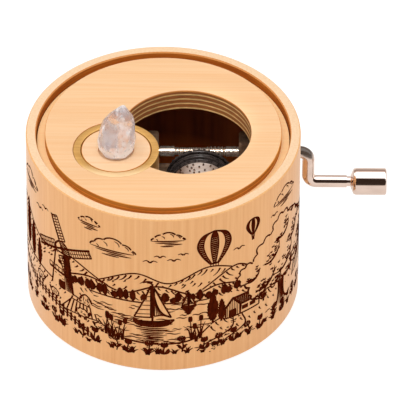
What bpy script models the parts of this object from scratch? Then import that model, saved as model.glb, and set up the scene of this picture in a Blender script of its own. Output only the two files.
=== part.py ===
# Hand-cranked music box: a round wooden case with an open movement under its top panel.
# Units are metres, +Z is up and +X points to the crank. The origin is on the case's axis, on its base.
import math

import bmesh
import bpy
from mathutils import Matrix

# Fits
seat_gap = 0.0003
fit_gap = 0.0001
run_gap = 0.00008
overrun = 0.001
weld_distance = 0.000002

# Case tube, whose bore is sized round the movement
case_gap = 0.0013983
tube_height = 0.0505
tube_wall = 0.0045
rim_width = 0.00265
rim_bevel = 0.0003
foot_bevel = 0.0006
shaft_hole_radius = 0.0022

# Top panel, with a groove round it and a round window
panel_thickness = 0.006
groove_width = 0.00225
groove_depth = 0.0024
panel_edge_bevel = 0.0001
window_radius = 0.0167
window_margin = 0.00765

# Brass ring, the wooden disc inside it and the crystal
ring_radius = 0.0109
ring_width = 0.0019
ring_margin = 0.00529
ring_height = 0.0072
ring_lip_width = 0.001
ring_lip_height = 0.0007
ring_edge_bevel = 0.00012
disc_gap = 0.00015
disc_drop = 0.0001
pocket_depth = 0.0009
pocket_gap = 0.00025
crystal_radius = 0.005
crystal_height = 0.0152
crystal_lean = 0.0019

# Base plate and the screws that hold the movement to it
base_thickness = 0.005
base_edge_bevel = 0.0004
mount_head_radius = 0.0028
mount_head_height = 0.0018
mount_shank_radius = 0.0015
mount_shank_length = 0.0078
mount_sink = 0.0006
mount_boss_radius = 0.0034

# Crank rod, with its worm, arm and handle
crank_y = 0.016
crank_z = 0.0309
rod_radius = 0.00135
wire_radius = 0.0016
wire_inset = 0.002
arm_clearance = 0.00075
arm_length = 0.00972
bend_radius = 0.0023
handle_length = 0.01045
neck_radius = 0.0008
neck_gap = 0.0006
head_radius = 0.00122
head_length = 0.0034
worm_length = 0.0133
worm_root_radius = 0.00075
worm_relief_radius = 0.00102
worm_ramp_start = 0.0011
worm_ramp_length = 0.0012
worm_stub = 0.0004
journal_radius = 0.001
journal_end = 0.0008
clip_radius = 0.0024
clip_thickness = 0.0005
clip_groove_radius = 0.0007
clip_groove_play = 0.0001
worm_starts = 2

# Knob on the handle
knob_radius = 0.0035
knob_length = 0.0093
knob_inner_bevel = 0.001
knob_outer_bevel = 0.00035
knob_lip_length = 0.0012
knob_end_gap = 0.0003

# Cylinder, its drive wheel, cap and arbor
cylinder_x = 0.0094
cylinder_radius = 0.0073
cylinder_wall = 0.0031
cylinder_end_margin = 0.00065
pin_radius = 0.0002
pin_rise = 0.0005
pin_root = 0.0004
worm_offset = 0.0068
mesh_gap = 0.00012
wheel_radius = 0.0086
wheel_width = 0.0038
wheel_rim_width = 0.0011
wheel_band_drop = 0.0007
wheel_band_width = 0.0016
wheel_groove_drop = 0.0014
wheel_groove_width = 0.0003
wheel_front_drop = 0.001
wheel_tooth_length = 0.0026
wheel_recess_extra = 0.00015
wheel_boss_length = 0.0026
cap_flange_thickness = 0.0005
cap_flange_overlap = 0.0005
cap_plug_length = 0.0016
arbor_radius = 0.0012
arbor_journal_radius = 0.0008
arbor_end = 0.0004
wheel_teeth = 40
contact_reach = 0.00335

# Cast frame of the movement
bed_rise = 0.0047
bed_thickness = 0.0022
bed_left_margin = 0.00195
bed_right_margin = 0.00045
bed_corner_radius = 0.002
rear_wall_gap = 0.0004
rear_wall_thickness = 0.0016
rear_wall_rise = 0.0021
post_gap = 0.00205
post_thickness = 0.003
post_front_reach = 0.0035
post_rear_reach = 0.0025
post_rise = 0.0042
post_corner_bevel = 0.0006
weld_depth = 0.0008

# Front bracket and its screws
bracket_thickness = 0.0012
bracket_half_width = 0.0046
foot_half_width = 0.0072
foot_depth = 0.0056
foot_margin = 0.0006
bracket_screw_reach = 0.0047
small_head_radius = 0.0017
small_head_height = 0.0011
small_shank_radius = 0.0009
small_shank_length = 0.0026

# Comb, its base bar and its screws
track_pitch = 0.00105
comb_gap = 0.00015
comb_length = 0.022
comb_thickness = 0.0021
tooth_thickness = 0.0008
tooth_rise = 0.0004
tooth_slot = 0.0003
long_tooth = 0.0128
short_tooth = 0.0082
root_land = 0.0006
comb_base_thickness = 0.0014
comb_screw_inset = 0.0045
comb_head_radius = 0.0021
comb_head_height = 0.0014
comb_shank_radius = 0.0012
comb_shank_length = 0.0062

# Screw slots
slot_width = 0.0005
slot_depth = 0.0006

# Turns and angles: the turns of slots, pins and facets in radians, the others in degrees
ring_turn = 211.2
slot_turn = 1.1
pin_sway_turn = 2.6
facet_turn = 2.4
smooth_angle = 35
facet_angle = 5
edge_angle = 40

# Counts
tube_sides = 64
window_sides = 64
ring_sides = 48
pocket_sides = 24
cylinder_sides = 48
cap_sides = 24
wheel_sides = 40
hub_edges = 9
shaft_sides = 16
bearing_sides = 32
screw_sides = 12
knob_sides = 24
bend_steps = 6
corner_steps = 3
bevel_segments = 2
wire_resolution = 3
note_count = 18
pins_per_note = 5
pin_sides = 4
worm_steps_per_turn = 9
slot_stations = 3
crystal_sides = 9

# Shares of the sizes that they follow
screw_crown_share = 0.2
facet_share = 0.06
facet_shift_share = 0.5
pin_sway_share = 0.03
worm_crest_share = 0.11
worm_base_share = 0.25
wheel_gap_share = 0.7
mesh_phase_share = 0.145
mount_spread_share = 0.72
pin_step_share = 0.618034
comb_screw_spread_share = 0.36
crystal_profile_shares = (
    (0.0, 0.72), (0.06, 0.86), (0.12, 0.94), (0.2, 0.99), (0.33, 1.0), (0.49, 0.98),
    (0.61, 0.85), (0.745, 0.62), (0.865, 0.37), (0.955, 0.18), (1.0, 0.07))

# Heights of the case, and the places of the movement in it
panel_bottom = tube_height - panel_thickness
top_ledge = panel_bottom - seat_gap
bottom_ledge = base_thickness + seat_gap
ring_bottom = tube_height - ring_height
disc_top = tube_height - disc_drop
pocket_floor = disc_top - pocket_depth
crystal_bottom = pocket_floor + seat_gap

comb_width = note_count * track_pitch
cylinder_length = comb_width + 2 * cylinder_end_margin
cylinder_z = crank_z - worm_offset
teeth_top_y = crank_y - worm_relief_radius - mesh_gap
teeth_floor_y = crank_y - rod_radius - mesh_gap
wheel_front_y = teeth_top_y - wheel_width
cylinder_rear_y = wheel_front_y - fit_gap
cylinder_front_y = cylinder_rear_y - cylinder_length
cylinder_middle_y = (cylinder_front_y + cylinder_rear_y) / 2
cylinder_bore_radius = cylinder_radius - cylinder_wall
pin_circle_radius = cylinder_radius + pin_rise
rear_wall_y = teeth_top_y + rear_wall_gap
arbor_front_y = cylinder_front_y - cap_flange_thickness - fit_gap
bracket_rear_y = arbor_front_y - seat_gap
bracket_front_y = bracket_rear_y - bracket_thickness

bed_bottom = bottom_ledge + bed_rise
bed_top = bed_bottom + bed_thickness
bed_front_y = bracket_front_y - foot_depth - foot_margin
bed_rear_y = crank_y + post_rear_reach
left_post_x = cylinder_x - wheel_radius - post_gap
right_post_x = cylinder_x + wheel_radius + post_gap
post_top = crank_z + post_rise

comb_tip_x = cylinder_x - pin_circle_radius - comb_gap
comb_back_x = comb_tip_x - comb_length
comb_top = cylinder_z + tooth_rise
comb_bottom = comb_top - comb_thickness
comb_base_top = comb_bottom - seat_gap
comb_base_bottom = comb_base_top - comb_base_thickness
pedestal_top = comb_base_bottom - seat_gap
comb_root_x = comb_tip_x - long_tooth - root_land

# The case round the movement, and the openings of its top panel
bed_left_x = comb_back_x - bed_left_margin
bed_right_x = right_post_x + post_thickness + bed_right_margin
bed_reaches = [
    math.hypot(abs(x) - bed_corner_radius, abs(y) - bed_corner_radius) + bed_corner_radius
    for x in (bed_left_x, bed_right_x) for y in (bed_front_y, bed_rear_y)]
bore_radius = max(bed_reaches) + case_gap
tube_radius = bore_radius + tube_wall
rebate_radius = tube_radius - rim_width
lid_radius = rebate_radius - seat_gap
raised_radius = rebate_radius - groove_width
window_x = raised_radius - window_margin - window_radius
ring_reach = raised_radius - ring_margin - ring_radius
ring_x = ring_reach * math.cos(math.radians(ring_turn))
ring_y = ring_reach * math.sin(math.radians(ring_turn))
ring_bore_radius = ring_radius - ring_width

wire_x = math.sqrt(tube_radius ** 2 - crank_y ** 2) - wire_inset
arm_x = tube_radius + arm_clearance + wire_radius
handle_z = crank_z - arm_length
rod_end_x = arm_x + handle_length
knob_inner_x = rod_end_x + neck_gap

# The face worm gear: the worm's thread and the wheel's involute teeth share one pitch
mesh_depth = (rod_radius + worm_relief_radius + mesh_gap) / 2
contact_lead = worm_starts / (wheel_teeth * mesh_depth)
pitch_radius = worm_offset / (1 + contact_reach * contact_lead)
tooth_pitch = 2 * math.pi * pitch_radius / wheel_teeth
worm_lead = worm_starts * tooth_pitch
tooth_tilt = math.atan(worm_lead / (2 * math.pi * mesh_depth))
involute_radius = pitch_radius * math.cos(tooth_tilt)
ridge_x = cylinder_x - (worm_offset - pitch_radius) * math.tan(tooth_tilt) - mesh_phase_share * tooth_pitch


def clear_scene():
    for item in list(bpy.data.objects):
        bpy.data.objects.remove(item, do_unlink=True)


def new_collection(name):
    collection = bpy.data.collections.new(name)
    bpy.context.scene.collection.children.link(collection)
    return collection


def new_material(name, colour, metallic, roughness):
    material = bpy.data.materials.new(name)
    material.use_nodes = True
    shader = material.node_tree.nodes["Principled BSDF"]
    shader.inputs["Base Color"].default_value = (*colour, 1)
    shader.inputs["Metallic"].default_value = metallic
    shader.inputs["Roughness"].default_value = roughness
    material.diffuse_color = (*colour, 1)
    return material


clear_scene()
parts = new_collection("music_box")
guides = new_collection("cutters")

bamboo = new_material("bamboo", (0.80, 0.52, 0.27), 0, 0.45)
plywood = new_material("plywood", (0.88, 0.60, 0.34), 0, 0.5)
brass = new_material("brass", (0.72, 0.50, 0.20), 1, 0.3)
quartz = new_material("quartz", (0.90, 0.86, 0.84), 0, 0.1)
nickel = new_material("nickel", (0.72, 0.70, 0.67), 1, 0.12)
steel = new_material("steel", (0.52, 0.52, 0.53), 1, 0.28)
zinc = new_material("cast zinc", (0.48, 0.46, 0.43), 1, 0.42)
black_plastic = new_material("black plastic", (0.02, 0.02, 0.022), 0, 0.38)


# Building blocks
def add_object(name, mesh, collection):
    item = bpy.data.objects.new(name, mesh)
    collection.objects.link(item)
    return item


def finish(item, material, angle=smooth_angle):
    item.data.materials.clear()
    item.data.materials.append(material)
    item.data.shade_smooth()
    item.data.set_sharp_from_angle(angle=math.radians(angle))
    return item


def as_guide(item):
    item.hide_render = True
    item.display_type = "WIRE"
    return item


def mesh_from(build_mesh, name):
    mesh = bpy.data.meshes.new(name)
    bmesh.ops.recalc_face_normals(build_mesh, faces=build_mesh.faces)
    build_mesh.to_mesh(mesh)
    build_mesh.free()
    return mesh


def boxes(name, spans, collection):
    build_mesh = bmesh.new()
    for low, high in spans:
        size = [high[axis] - low[axis] for axis in range(3)]
        middle = [(high[axis] + low[axis]) / 2 for axis in range(3)]
        place = Matrix.Translation(middle) @ Matrix.Diagonal((*size, 1))
        bmesh.ops.create_cube(build_mesh, size=1, matrix=place)
    return add_object(name, mesh_from(build_mesh, name), collection)


def rods(name, placements, radius, length, sides, collection):
    build_mesh = bmesh.new()
    for placement in placements:
        bmesh.ops.create_cone(
            build_mesh, cap_ends=True, segments=sides, radius1=radius, radius2=radius, depth=length,
            matrix=placement)
    return add_object(name, mesh_from(build_mesh, name), collection)


def turned(name, profile, sides, collection, closed=False):
    mesh = bpy.data.meshes.new(name)
    corners = [(radius, 0, height) for radius, height in profile]
    edges = [(index, index + 1) for index in range(len(profile) - 1)]
    if closed:
        edges.append((len(profile) - 1, 0))
    mesh.from_pydata(corners, edges, [])
    item = add_object(name, mesh, collection)
    screw = item.modifiers.new("turn", "SCREW")
    screw.steps = sides
    screw.render_steps = sides
    screw.use_merge_vertices = True
    screw.merge_threshold = weld_distance
    return solid(item, hub_edges)


def solid(item, most_edges=0):
    evaluated = item.evaluated_get(bpy.context.evaluated_depsgraph_get())
    shape = bpy.data.meshes.new_from_object(evaluated)
    build_mesh = bmesh.new()
    build_mesh.from_mesh(shape)
    bmesh.ops.remove_doubles(build_mesh, verts=build_mesh.verts, dist=weld_distance)
    if most_edges:
        hubs = [vertex for vertex in build_mesh.verts if len(vertex.link_edges) > most_edges]
        bmesh.ops.dissolve_verts(build_mesh, verts=hubs)
    bmesh.ops.recalc_face_normals(build_mesh, faces=build_mesh.faces)
    build_mesh.to_mesh(shape)
    build_mesh.free()
    result = add_object(item.name + "_solid", shape, item.users_collection[0])
    result.matrix_world = item.matrix_world
    name = item.name
    bpy.data.objects.remove(item, do_unlink=True)
    result.name = name
    return result


def plate(name, outline, thickness, collection):
    curve = bpy.data.curves.new(name, "CURVE")
    curve.dimensions = "2D"
    curve.fill_mode = "BOTH"
    curve.extrude = thickness / 2
    spline = curve.splines.new("POLY")
    spline.points.add(len(outline) - 1)
    for point, corner in zip(spline.points, outline):
        point.co = (*corner, 0, 1)
    spline.use_cyclic_u = True
    return solid(add_object(name, curve, collection))


def wire(name, route, radius, collection):
    curve = bpy.data.curves.new(name, "CURVE")
    curve.dimensions = "3D"
    curve.bevel_depth = radius
    curve.bevel_resolution = wire_resolution
    curve.use_fill_caps = True
    spline = curve.splines.new("POLY")
    spline.points.add(len(route) - 1)
    for point, place in zip(spline.points, route):
        point.co = (*place, 1)
    return solid(add_object(name, curve, collection))


def loft(name, rings, collection):
    build_mesh = bmesh.new()
    rows = [[build_mesh.verts.new(place) for place in ring] for ring in rings]
    for row, following in zip(rows, rows[1:]):
        for index in range(len(row)):
            beside = (index + 1) % len(row)
            build_mesh.faces.new((row[index], row[beside], following[beside], following[index]))
    build_mesh.faces.new(rows[0])
    build_mesh.faces.new(rows[-1])
    bmesh.ops.triangulate(build_mesh, faces=build_mesh.faces)
    return add_object(name, mesh_from(build_mesh, name), collection)


def join_or_cut(item, tool, operation):
    as_guide(tool)
    boolean = item.modifiers.new(tool.name, "BOOLEAN")
    boolean.operation = operation
    boolean.solver = "EXACT"
    boolean.object = tool
    return item


def cut(item, tool):
    return join_or_cut(item, tool, "DIFFERENCE")


def join(item, tool):
    return join_or_cut(item, tool, "UNION")


def bevel(item, width):
    edge = item.modifiers.new("edges", "BEVEL")
    edge.width = width
    edge.segments = bevel_segments
    edge.limit_method = "ANGLE"
    edge.angle_limit = math.radians(edge_angle)
    return item


def turn_to_x(item):
    item.rotation_euler = (0, math.pi / 2, 0)
    return item


def turn_to_y(item):
    item.rotation_euler = (-math.pi / 2, 0, 0)
    return item


def placed(item, x, y, z):
    item.location = (x, y, z)
    return item


def axis_empty(name, x, y, z):
    empty = bpy.data.objects.new(name, None)
    parts.objects.link(empty)
    empty.location = (x, y, z)
    return empty


def carry(item, empty):
    bpy.context.view_layer.update()
    item.parent = empty
    item.location = item.location - empty.location
    return item


def upright_rod(name, x, y, low, high, radius, sides):
    middle = Matrix.Translation((x, y, (low + high) / 2))
    return rods(name, [middle], radius, high - low, sides, guides)


def rod_along_x(name, low, high, y, z, radius, sides):
    middle = Matrix.Translation(((low + high) / 2, y, z)) @ Matrix.Rotation(math.pi / 2, 4, "Y")
    return rods(name, [middle], radius, high - low, sides, guides)


def rod_along_y(name, x, low, high, z, radius, sides):
    middle = Matrix.Translation((x, (low + high) / 2, z)) @ Matrix.Rotation(math.pi / 2, 4, "X")
    return rods(name, [middle], radius, high - low, sides, guides)


# Case
def make_case_tube():
    profile = [
        (bore_radius, top_ledge),
        (rebate_radius, top_ledge),
        (rebate_radius, tube_height),
        (tube_radius - rim_bevel, tube_height),
        (tube_radius, tube_height - rim_bevel),
        (tube_radius, foot_bevel),
        (tube_radius - foot_bevel, 0),
        (rebate_radius, 0),
        (rebate_radius, bottom_ledge),
        (bore_radius, bottom_ledge)]
    tube = turned("case_tube", profile, tube_sides, parts, closed=True)
    inside_x = math.sqrt(bore_radius ** 2 - (crank_y + shaft_hole_radius) ** 2) - overrun
    hole = rod_along_x("shaft_hole", inside_x, tube_radius, crank_y, crank_z, shaft_hole_radius, shaft_sides)
    cut(tube, hole)
    return finish(tube, bamboo)


def make_top_panel():
    profile = [
        (0, tube_height),
        (raised_radius - panel_edge_bevel, tube_height),
        (raised_radius, tube_height - panel_edge_bevel),
        (raised_radius, tube_height - groove_depth),
        (lid_radius, tube_height - groove_depth),
        (lid_radius, panel_bottom),
        (0, panel_bottom)]
    panel = turned("top_panel", profile, tube_sides, parts)
    low = panel_bottom - overrun
    high = tube_height + overrun
    cut(panel, upright_rod("window_cut", window_x, 0, low, high, window_radius, window_sides))
    cut(panel, upright_rod("ring_cut", ring_x, ring_y, low, high, ring_radius + fit_gap, ring_sides))
    return finish(panel, plywood)


def make_brass_ring():
    lip_top = ring_bottom + ring_lip_height
    profile = [
        (ring_bore_radius + ring_edge_bevel, tube_height),
        (ring_radius - ring_edge_bevel, tube_height),
        (ring_radius, tube_height - ring_edge_bevel),
        (ring_radius, ring_bottom),
        (ring_bore_radius - ring_lip_width, ring_bottom),
        (ring_bore_radius - ring_lip_width, lip_top),
        (ring_bore_radius, lip_top),
        (ring_bore_radius, tube_height - ring_edge_bevel)]
    ring = turned("brass_ring", profile, ring_sides, parts, closed=True)
    return finish(placed(ring, ring_x, ring_y, 0), brass)


def make_crystal_disc():
    radius = ring_bore_radius - disc_gap
    profile = [
        (0, disc_top),
        (radius, disc_top),
        (radius, ring_bottom + ring_lip_height + seat_gap),
        (0, ring_bottom + ring_lip_height + seat_gap)]
    disc = turned("crystal_disc", profile, ring_sides, parts)
    pocket_radius = crystal_radius * crystal_profile_shares[1][1] + pocket_gap
    pocket = upright_rod("pocket_cut", 0, 0, pocket_floor, disc_top + overrun, pocket_radius, pocket_sides)
    placed(pocket, ring_x, ring_y, 0)
    return finish(cut(placed(disc, ring_x, ring_y, 0), pocket), plywood)


def crystal_ring(row, height_share, radius_share):
    middle_x = crystal_lean * height_share ** 2
    ring = []
    for side in range(crystal_sides):
        angle = 2 * math.pi * (side + row * facet_shift_share) / crystal_sides
        facet = 1 + facet_share * math.sin(facet_turn * (row * crystal_sides + side))
        radius = crystal_radius * radius_share * facet
        x = middle_x + radius * math.cos(angle)
        ring.append((x, radius * math.sin(angle), crystal_height * height_share))
    return ring


def make_crystal():
    build_mesh = bmesh.new()
    for row, shares in enumerate(crystal_profile_shares):
        for corner in crystal_ring(row, *shares):
            build_mesh.verts.new(corner)
    hull = bmesh.ops.convex_hull(build_mesh, input=build_mesh.verts)
    inner = [item for item in hull["geom_interior"] if isinstance(item, bmesh.types.BMVert)]
    bmesh.ops.delete(build_mesh, geom=inner, context="VERTS")
    crystal = add_object("crystal", mesh_from(build_mesh, "crystal"), parts)
    return finish(placed(crystal, ring_x, ring_y, crystal_bottom), quartz, facet_angle)


def mount_places():
    reach = -bed_left_x * mount_spread_share
    rear = (bed_rear_y - mount_boss_radius) * mount_spread_share
    front = (bed_front_y + mount_boss_radius) * mount_spread_share
    return [(-reach, front), (-reach, rear), (reach, front)]


def make_base_plate():
    profile = [
        (0, base_thickness),
        (lid_radius - base_edge_bevel, base_thickness),
        (lid_radius, base_thickness - base_edge_bevel),
        (lid_radius, 0),
        (0, 0)]
    base = turned("base_plate", profile, tube_sides, parts)
    sink = mount_sink + mount_head_height + seat_gap
    for number, (x, y) in enumerate(mount_places(), 1):
        head = upright_rod(f"sink_{number}", x, y, -overrun, sink, mount_head_radius + seat_gap, screw_sides)
        shank = upright_rod(
            f"shank_hole_{number}", x, y, sink - overrun / 2, base_thickness + overrun,
            mount_shank_radius + seat_gap, screw_sides)
        cut(base, head)
        cut(base, shank)
    return finish(base, plywood)


# Screws
def make_screw(name, head_radius, head_height, shank_radius, shank_length, material):
    crown = head_height * screw_crown_share
    point = shank_radius / 2
    profile = [
        (0, head_height),
        (head_radius - crown, head_height),
        (head_radius, head_height - crown),
        (head_radius, 0),
        (shank_radius, 0),
        (shank_radius, point - shank_length),
        (shank_radius - point, -shank_length),
        (0, -shank_length)]
    screw = turned(name, profile, screw_sides, parts)
    low = (-head_radius - overrun, -slot_width / 2, head_height - slot_depth)
    high = (head_radius + overrun, slot_width / 2, head_height + overrun)
    slot = boxes(name + "_slot", [(low, high)], guides)
    slot.parent = screw
    return finish(cut(screw, slot), material)


def make_mount_screws():
    for number, (x, y) in enumerate(mount_places(), 1):
        screw = make_screw(
            f"mount_screw_{number}", mount_head_radius, mount_head_height, mount_shank_radius,
            mount_shank_length, steel)
        screw.rotation_euler = (math.pi, 0, 0)
        placed(screw, x, y, mount_sink + mount_head_height)


def comb_screw_places():
    x = comb_back_x + comb_screw_inset
    spread = comb_width * comb_screw_spread_share
    return [(x, cylinder_middle_y - spread), (x, cylinder_middle_y), (x, cylinder_middle_y + spread)]


def make_comb_screws():
    for number, (x, y) in enumerate(comb_screw_places(), 1):
        screw = make_screw(
            f"comb_screw_{number}", comb_head_radius, comb_head_height, comb_shank_radius,
            comb_shank_length, steel)
        screw.rotation_euler = (0, 0, number * slot_turn)
        placed(screw, x, y, comb_top + seat_gap)


def bracket_screw_places():
    y = bracket_front_y - foot_depth / 2
    return [(cylinder_x - bracket_screw_reach, y), (cylinder_x + bracket_screw_reach, y)]


def make_bracket_screws():
    for number, (x, y) in enumerate(bracket_screw_places(), 1):
        screw = make_screw(
            f"bracket_screw_{number}", small_head_radius, small_head_height, small_shank_radius,
            small_shank_length, steel)
        screw.rotation_euler = (0, 0, -number * slot_turn)
        placed(screw, x, y, bed_top + bracket_thickness + 2 * seat_gap)


# Cast frame, which carries the cylinder, the comb and the crank rod
def rounded_outline(low_x, low_y, high_x, high_y, radius):
    corners = [
        (high_x - radius, high_y - radius, 0),
        (low_x + radius, high_y - radius, 1),
        (low_x + radius, low_y + radius, 2),
        (high_x - radius, low_y + radius, 3)]
    outline = []
    for x, y, quarter in corners:
        for step in range(corner_steps + 1):
            angle = math.pi / 2 * (quarter + step / corner_steps)
            outline.append((x + radius * math.cos(angle), y + radius * math.sin(angle)))
    return outline


def make_post(name, near_x, far_x):
    low = (min(near_x, far_x), crank_y - post_front_reach, bed_top - weld_depth)
    high = (max(near_x, far_x), crank_y + post_rear_reach - weld_depth / 2, post_top)
    return bevel(boxes(name, [(low, high)], guides), post_corner_bevel)


def make_movement_frame():
    outline = rounded_outline(bed_left_x, bed_front_y, bed_right_x, bed_rear_y, bed_corner_radius)
    frame = plate("movement_frame", outline, bed_thickness, parts)
    placed(frame, 0, 0, (bed_bottom + bed_top) / 2)
    wall_low = (left_post_x - weld_depth, rear_wall_y, bed_top - weld_depth)
    wall_high = (right_post_x + weld_depth, rear_wall_y + rear_wall_thickness, cylinder_z + rear_wall_rise)
    join(frame, boxes("rear_wall", [(wall_low, wall_high)], guides))
    join(frame, make_post("left_post", left_post_x, left_post_x - post_thickness))
    join(frame, make_post("right_post", right_post_x, right_post_x + post_thickness))
    block_low = (comb_back_x, cylinder_middle_y - comb_width / 2, bed_top - weld_depth)
    block_high = (comb_root_x, cylinder_middle_y + comb_width / 2, pedestal_top)
    join(frame, boxes("pedestal", [(block_low, block_high)], guides))
    for number, (x, y) in enumerate(mount_places(), 1):
        boss = upright_rod(
            f"boss_{number}", x, y, bottom_ledge, bed_bottom + weld_depth, mount_boss_radius, screw_sides)
        join(frame, boss)
        hole_top = mount_sink + mount_head_height + mount_shank_length + seat_gap
        hole = upright_rod(
            f"boss_hole_{number}", x, y, bottom_ledge - overrun, hole_top, mount_shank_radius + fit_gap,
            screw_sides)
        cut(frame, hole)
    for number, (x, y) in enumerate(comb_screw_places(), 1):
        hole_low = comb_top - comb_shank_length
        hole = upright_rod(
            f"comb_hole_{number}", x, y, hole_low, pedestal_top + overrun, comb_shank_radius + fit_gap,
            screw_sides)
        cut(frame, hole)
    for number, (x, y) in enumerate(bracket_screw_places(), 1):
        hole = upright_rod(
            f"bracket_hole_{number}", x, y, bed_bottom - overrun, bed_top + overrun,
            small_shank_radius + fit_gap, screw_sides)
        cut(frame, hole)
    low = right_post_x - overrun
    high = right_post_x + post_thickness + overrun
    cut(frame, rod_along_x("rod_bearing", low, high, crank_y, crank_z, rod_radius + run_gap, bearing_sides))
    low = left_post_x - post_thickness - overrun
    high = left_post_x + overrun
    journal_hole = journal_radius + run_gap
    cut(frame, rod_along_x("end_bearing", low, high, crank_y, crank_z, journal_hole, bearing_sides))
    low = rear_wall_y - overrun
    high = rear_wall_y + rear_wall_thickness + overrun
    arbor_hole = arbor_journal_radius + run_gap
    cut(frame, rod_along_y("arbor_bearing", cylinder_x, low, high, cylinder_z, arbor_hole, bearing_sides))
    return finish(frame, zinc)


def bracket_waste():
    foot_top = bed_top + seat_gap + bracket_thickness
    low = foot_top + fit_gap
    side = foot_half_width + overrun
    outline = [(-bracket_half_width, low)]
    for step in range(bearing_sides // 2 + 1):
        angle = math.pi - 2 * math.pi * step / bearing_sides
        x = bracket_half_width * math.cos(angle)
        outline.append((x, cylinder_z + bracket_half_width * math.sin(angle)))
    top = cylinder_z + bracket_half_width + overrun
    outline += [(bracket_half_width, low), (side, low), (side, top), (-side, top), (-side, low)]
    waste = plate("bracket_waste", outline, foot_depth, guides)
    waste.rotation_euler = (math.pi / 2, 0, 0)
    return placed(waste, cylinder_x, bracket_rear_y, 0)


def make_front_bracket():
    foot_bottom = bed_top + seat_gap
    foot_top = foot_bottom + bracket_thickness
    top = cylinder_z + bracket_half_width + seat_gap
    outline = [
        (bracket_rear_y, foot_bottom),
        (bracket_rear_y, top),
        (bracket_front_y, top),
        (bracket_front_y, foot_top),
        (bracket_front_y - foot_depth, foot_top),
        (bracket_front_y - foot_depth, foot_bottom)]
    bracket = plate("front_bracket", outline, 2 * foot_half_width, parts)
    bracket.rotation_euler = (math.pi / 2, 0, math.pi / 2)
    placed(bracket, cylinder_x, 0, 0)
    cut(bracket, bracket_waste())
    near = bracket_front_y - overrun
    far = bracket_rear_y + overrun
    hole_radius = arbor_journal_radius + run_gap
    cut(bracket, rod_along_y("front_bearing", cylinder_x, near, far, cylinder_z, hole_radius, bearing_sides))
    for number, (x, y) in enumerate(bracket_screw_places(), 1):
        hole = upright_rod(
            f"foot_hole_{number}", x, y, bed_top - overrun, foot_top + overrun,
            small_shank_radius + seat_gap, screw_sides)
        cut(bracket, hole)
    return finish(bracket, steel)


# Comb
def comb_slots():
    spans = []
    for gap in range(1, note_count):
        y = cylinder_middle_y - comb_width / 2 + gap * track_pitch
        length = short_tooth + (long_tooth - short_tooth) * gap / note_count
        low = (comb_tip_x - length, y - tooth_slot / 2, comb_bottom - overrun)
        high = (comb_tip_x + overrun, y + tooth_slot / 2, comb_top + overrun)
        spans.append((low, high))
    return boxes("comb_slots", spans, guides)


def make_comb():
    outline = [
        (comb_back_x, comb_bottom),
        (comb_root_x, comb_bottom),
        (comb_root_x + comb_thickness - tooth_thickness, comb_top - tooth_thickness),
        (comb_tip_x, comb_top - tooth_thickness),
        (comb_tip_x, comb_top),
        (comb_back_x, comb_top)]
    comb = plate("comb", outline, comb_width, parts)
    comb.rotation_euler = (math.pi / 2, 0, 0)
    placed(comb, 0, cylinder_middle_y, 0)
    cut(comb, comb_slots())
    for number, (x, y) in enumerate(comb_screw_places(), 1):
        hole = upright_rod(
            f"comb_screw_hole_{number}", x, y, comb_bottom - overrun, comb_top + overrun,
            comb_shank_radius + seat_gap, screw_sides)
        cut(comb, hole)
    return finish(comb, steel)


def make_comb_base():
    low = (comb_back_x, cylinder_middle_y - comb_width / 2, comb_base_bottom)
    high = (comb_root_x, cylinder_middle_y + comb_width / 2, comb_base_top)
    bar = boxes("comb_base", [(low, high)], parts)
    for number, (x, y) in enumerate(comb_screw_places(), 1):
        hole = upright_rod(
            f"base_hole_{number}", x, y, comb_base_bottom - overrun, comb_base_top + overrun,
            comb_shank_radius + seat_gap, screw_sides)
        cut(bar, hole)
    return finish(bar, brass)


# Cylinder group, turned about its arbor
def pin_placements():
    placements = []
    middle = cylinder_radius + (pin_rise - pin_root) / 2
    for note in range(note_count):
        y = (note + 1 / 2) * track_pitch - comb_width / 2
        for turn in range(pins_per_note):
            sway = pin_sway_share * math.sin(pin_sway_turn * (note * pins_per_note + turn))
            share = (turn + note * pin_step_share % 1) / pins_per_note + sway
            angle = 2 * math.pi * share
            spin = Matrix.Rotation(angle, 4, "Z")
            lift = Matrix.Translation((middle, 0, y))
            placements.append(spin @ lift @ Matrix.Rotation(math.pi / 2, 4, "Y"))
    return placements


def make_music_cylinder(axis):
    half = cylinder_length / 2
    profile = [
        (cylinder_bore_radius, half),
        (cylinder_radius, half),
        (cylinder_radius, -half),
        (cylinder_bore_radius, -half)]
    cylinder = turned("music_cylinder", profile, cylinder_sides, parts, closed=True)
    pins = rods("pins", pin_placements(), pin_radius, pin_rise + pin_root, pin_sides, guides)
    pins.parent = cylinder
    join(cylinder, pins)
    turn_to_y(placed(cylinder, cylinder_x, cylinder_middle_y, cylinder_z))
    return carry(finish(cylinder, steel), axis)


def involute(radius):
    roll = math.sqrt((radius / involute_radius) ** 2 - 1)
    return roll - math.atan(roll)


def tooth_gap(number, depth):
    start = math.pi / 2 - (math.tan(tooth_tilt) - tooth_tilt) + 2 * math.pi * number / wheel_teeth
    inner = wheel_radius - wheel_tooth_length - wheel_recess_extra
    outer = wheel_radius + overrun
    rings = []
    for station in range(slot_stations):
        radius = inner + (outer - inner) * station / (slot_stations - 1)
        angle = -start - involute(radius)
        half = tooth_pitch * wheel_gap_share / 2 * involute_radius / pitch_radius
        turn = half / involute_radius
        low = wheel_width - depth
        high = wheel_width + overrun
        rings.append([
            (radius * math.cos(angle - turn), radius * math.sin(angle - turn), low),
            (radius * math.cos(angle + turn), radius * math.sin(angle + turn), low),
            (radius * math.cos(angle + turn), radius * math.sin(angle + turn), high),
            (radius * math.cos(angle - turn), radius * math.sin(angle - turn), high)])
    return rings


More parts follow.
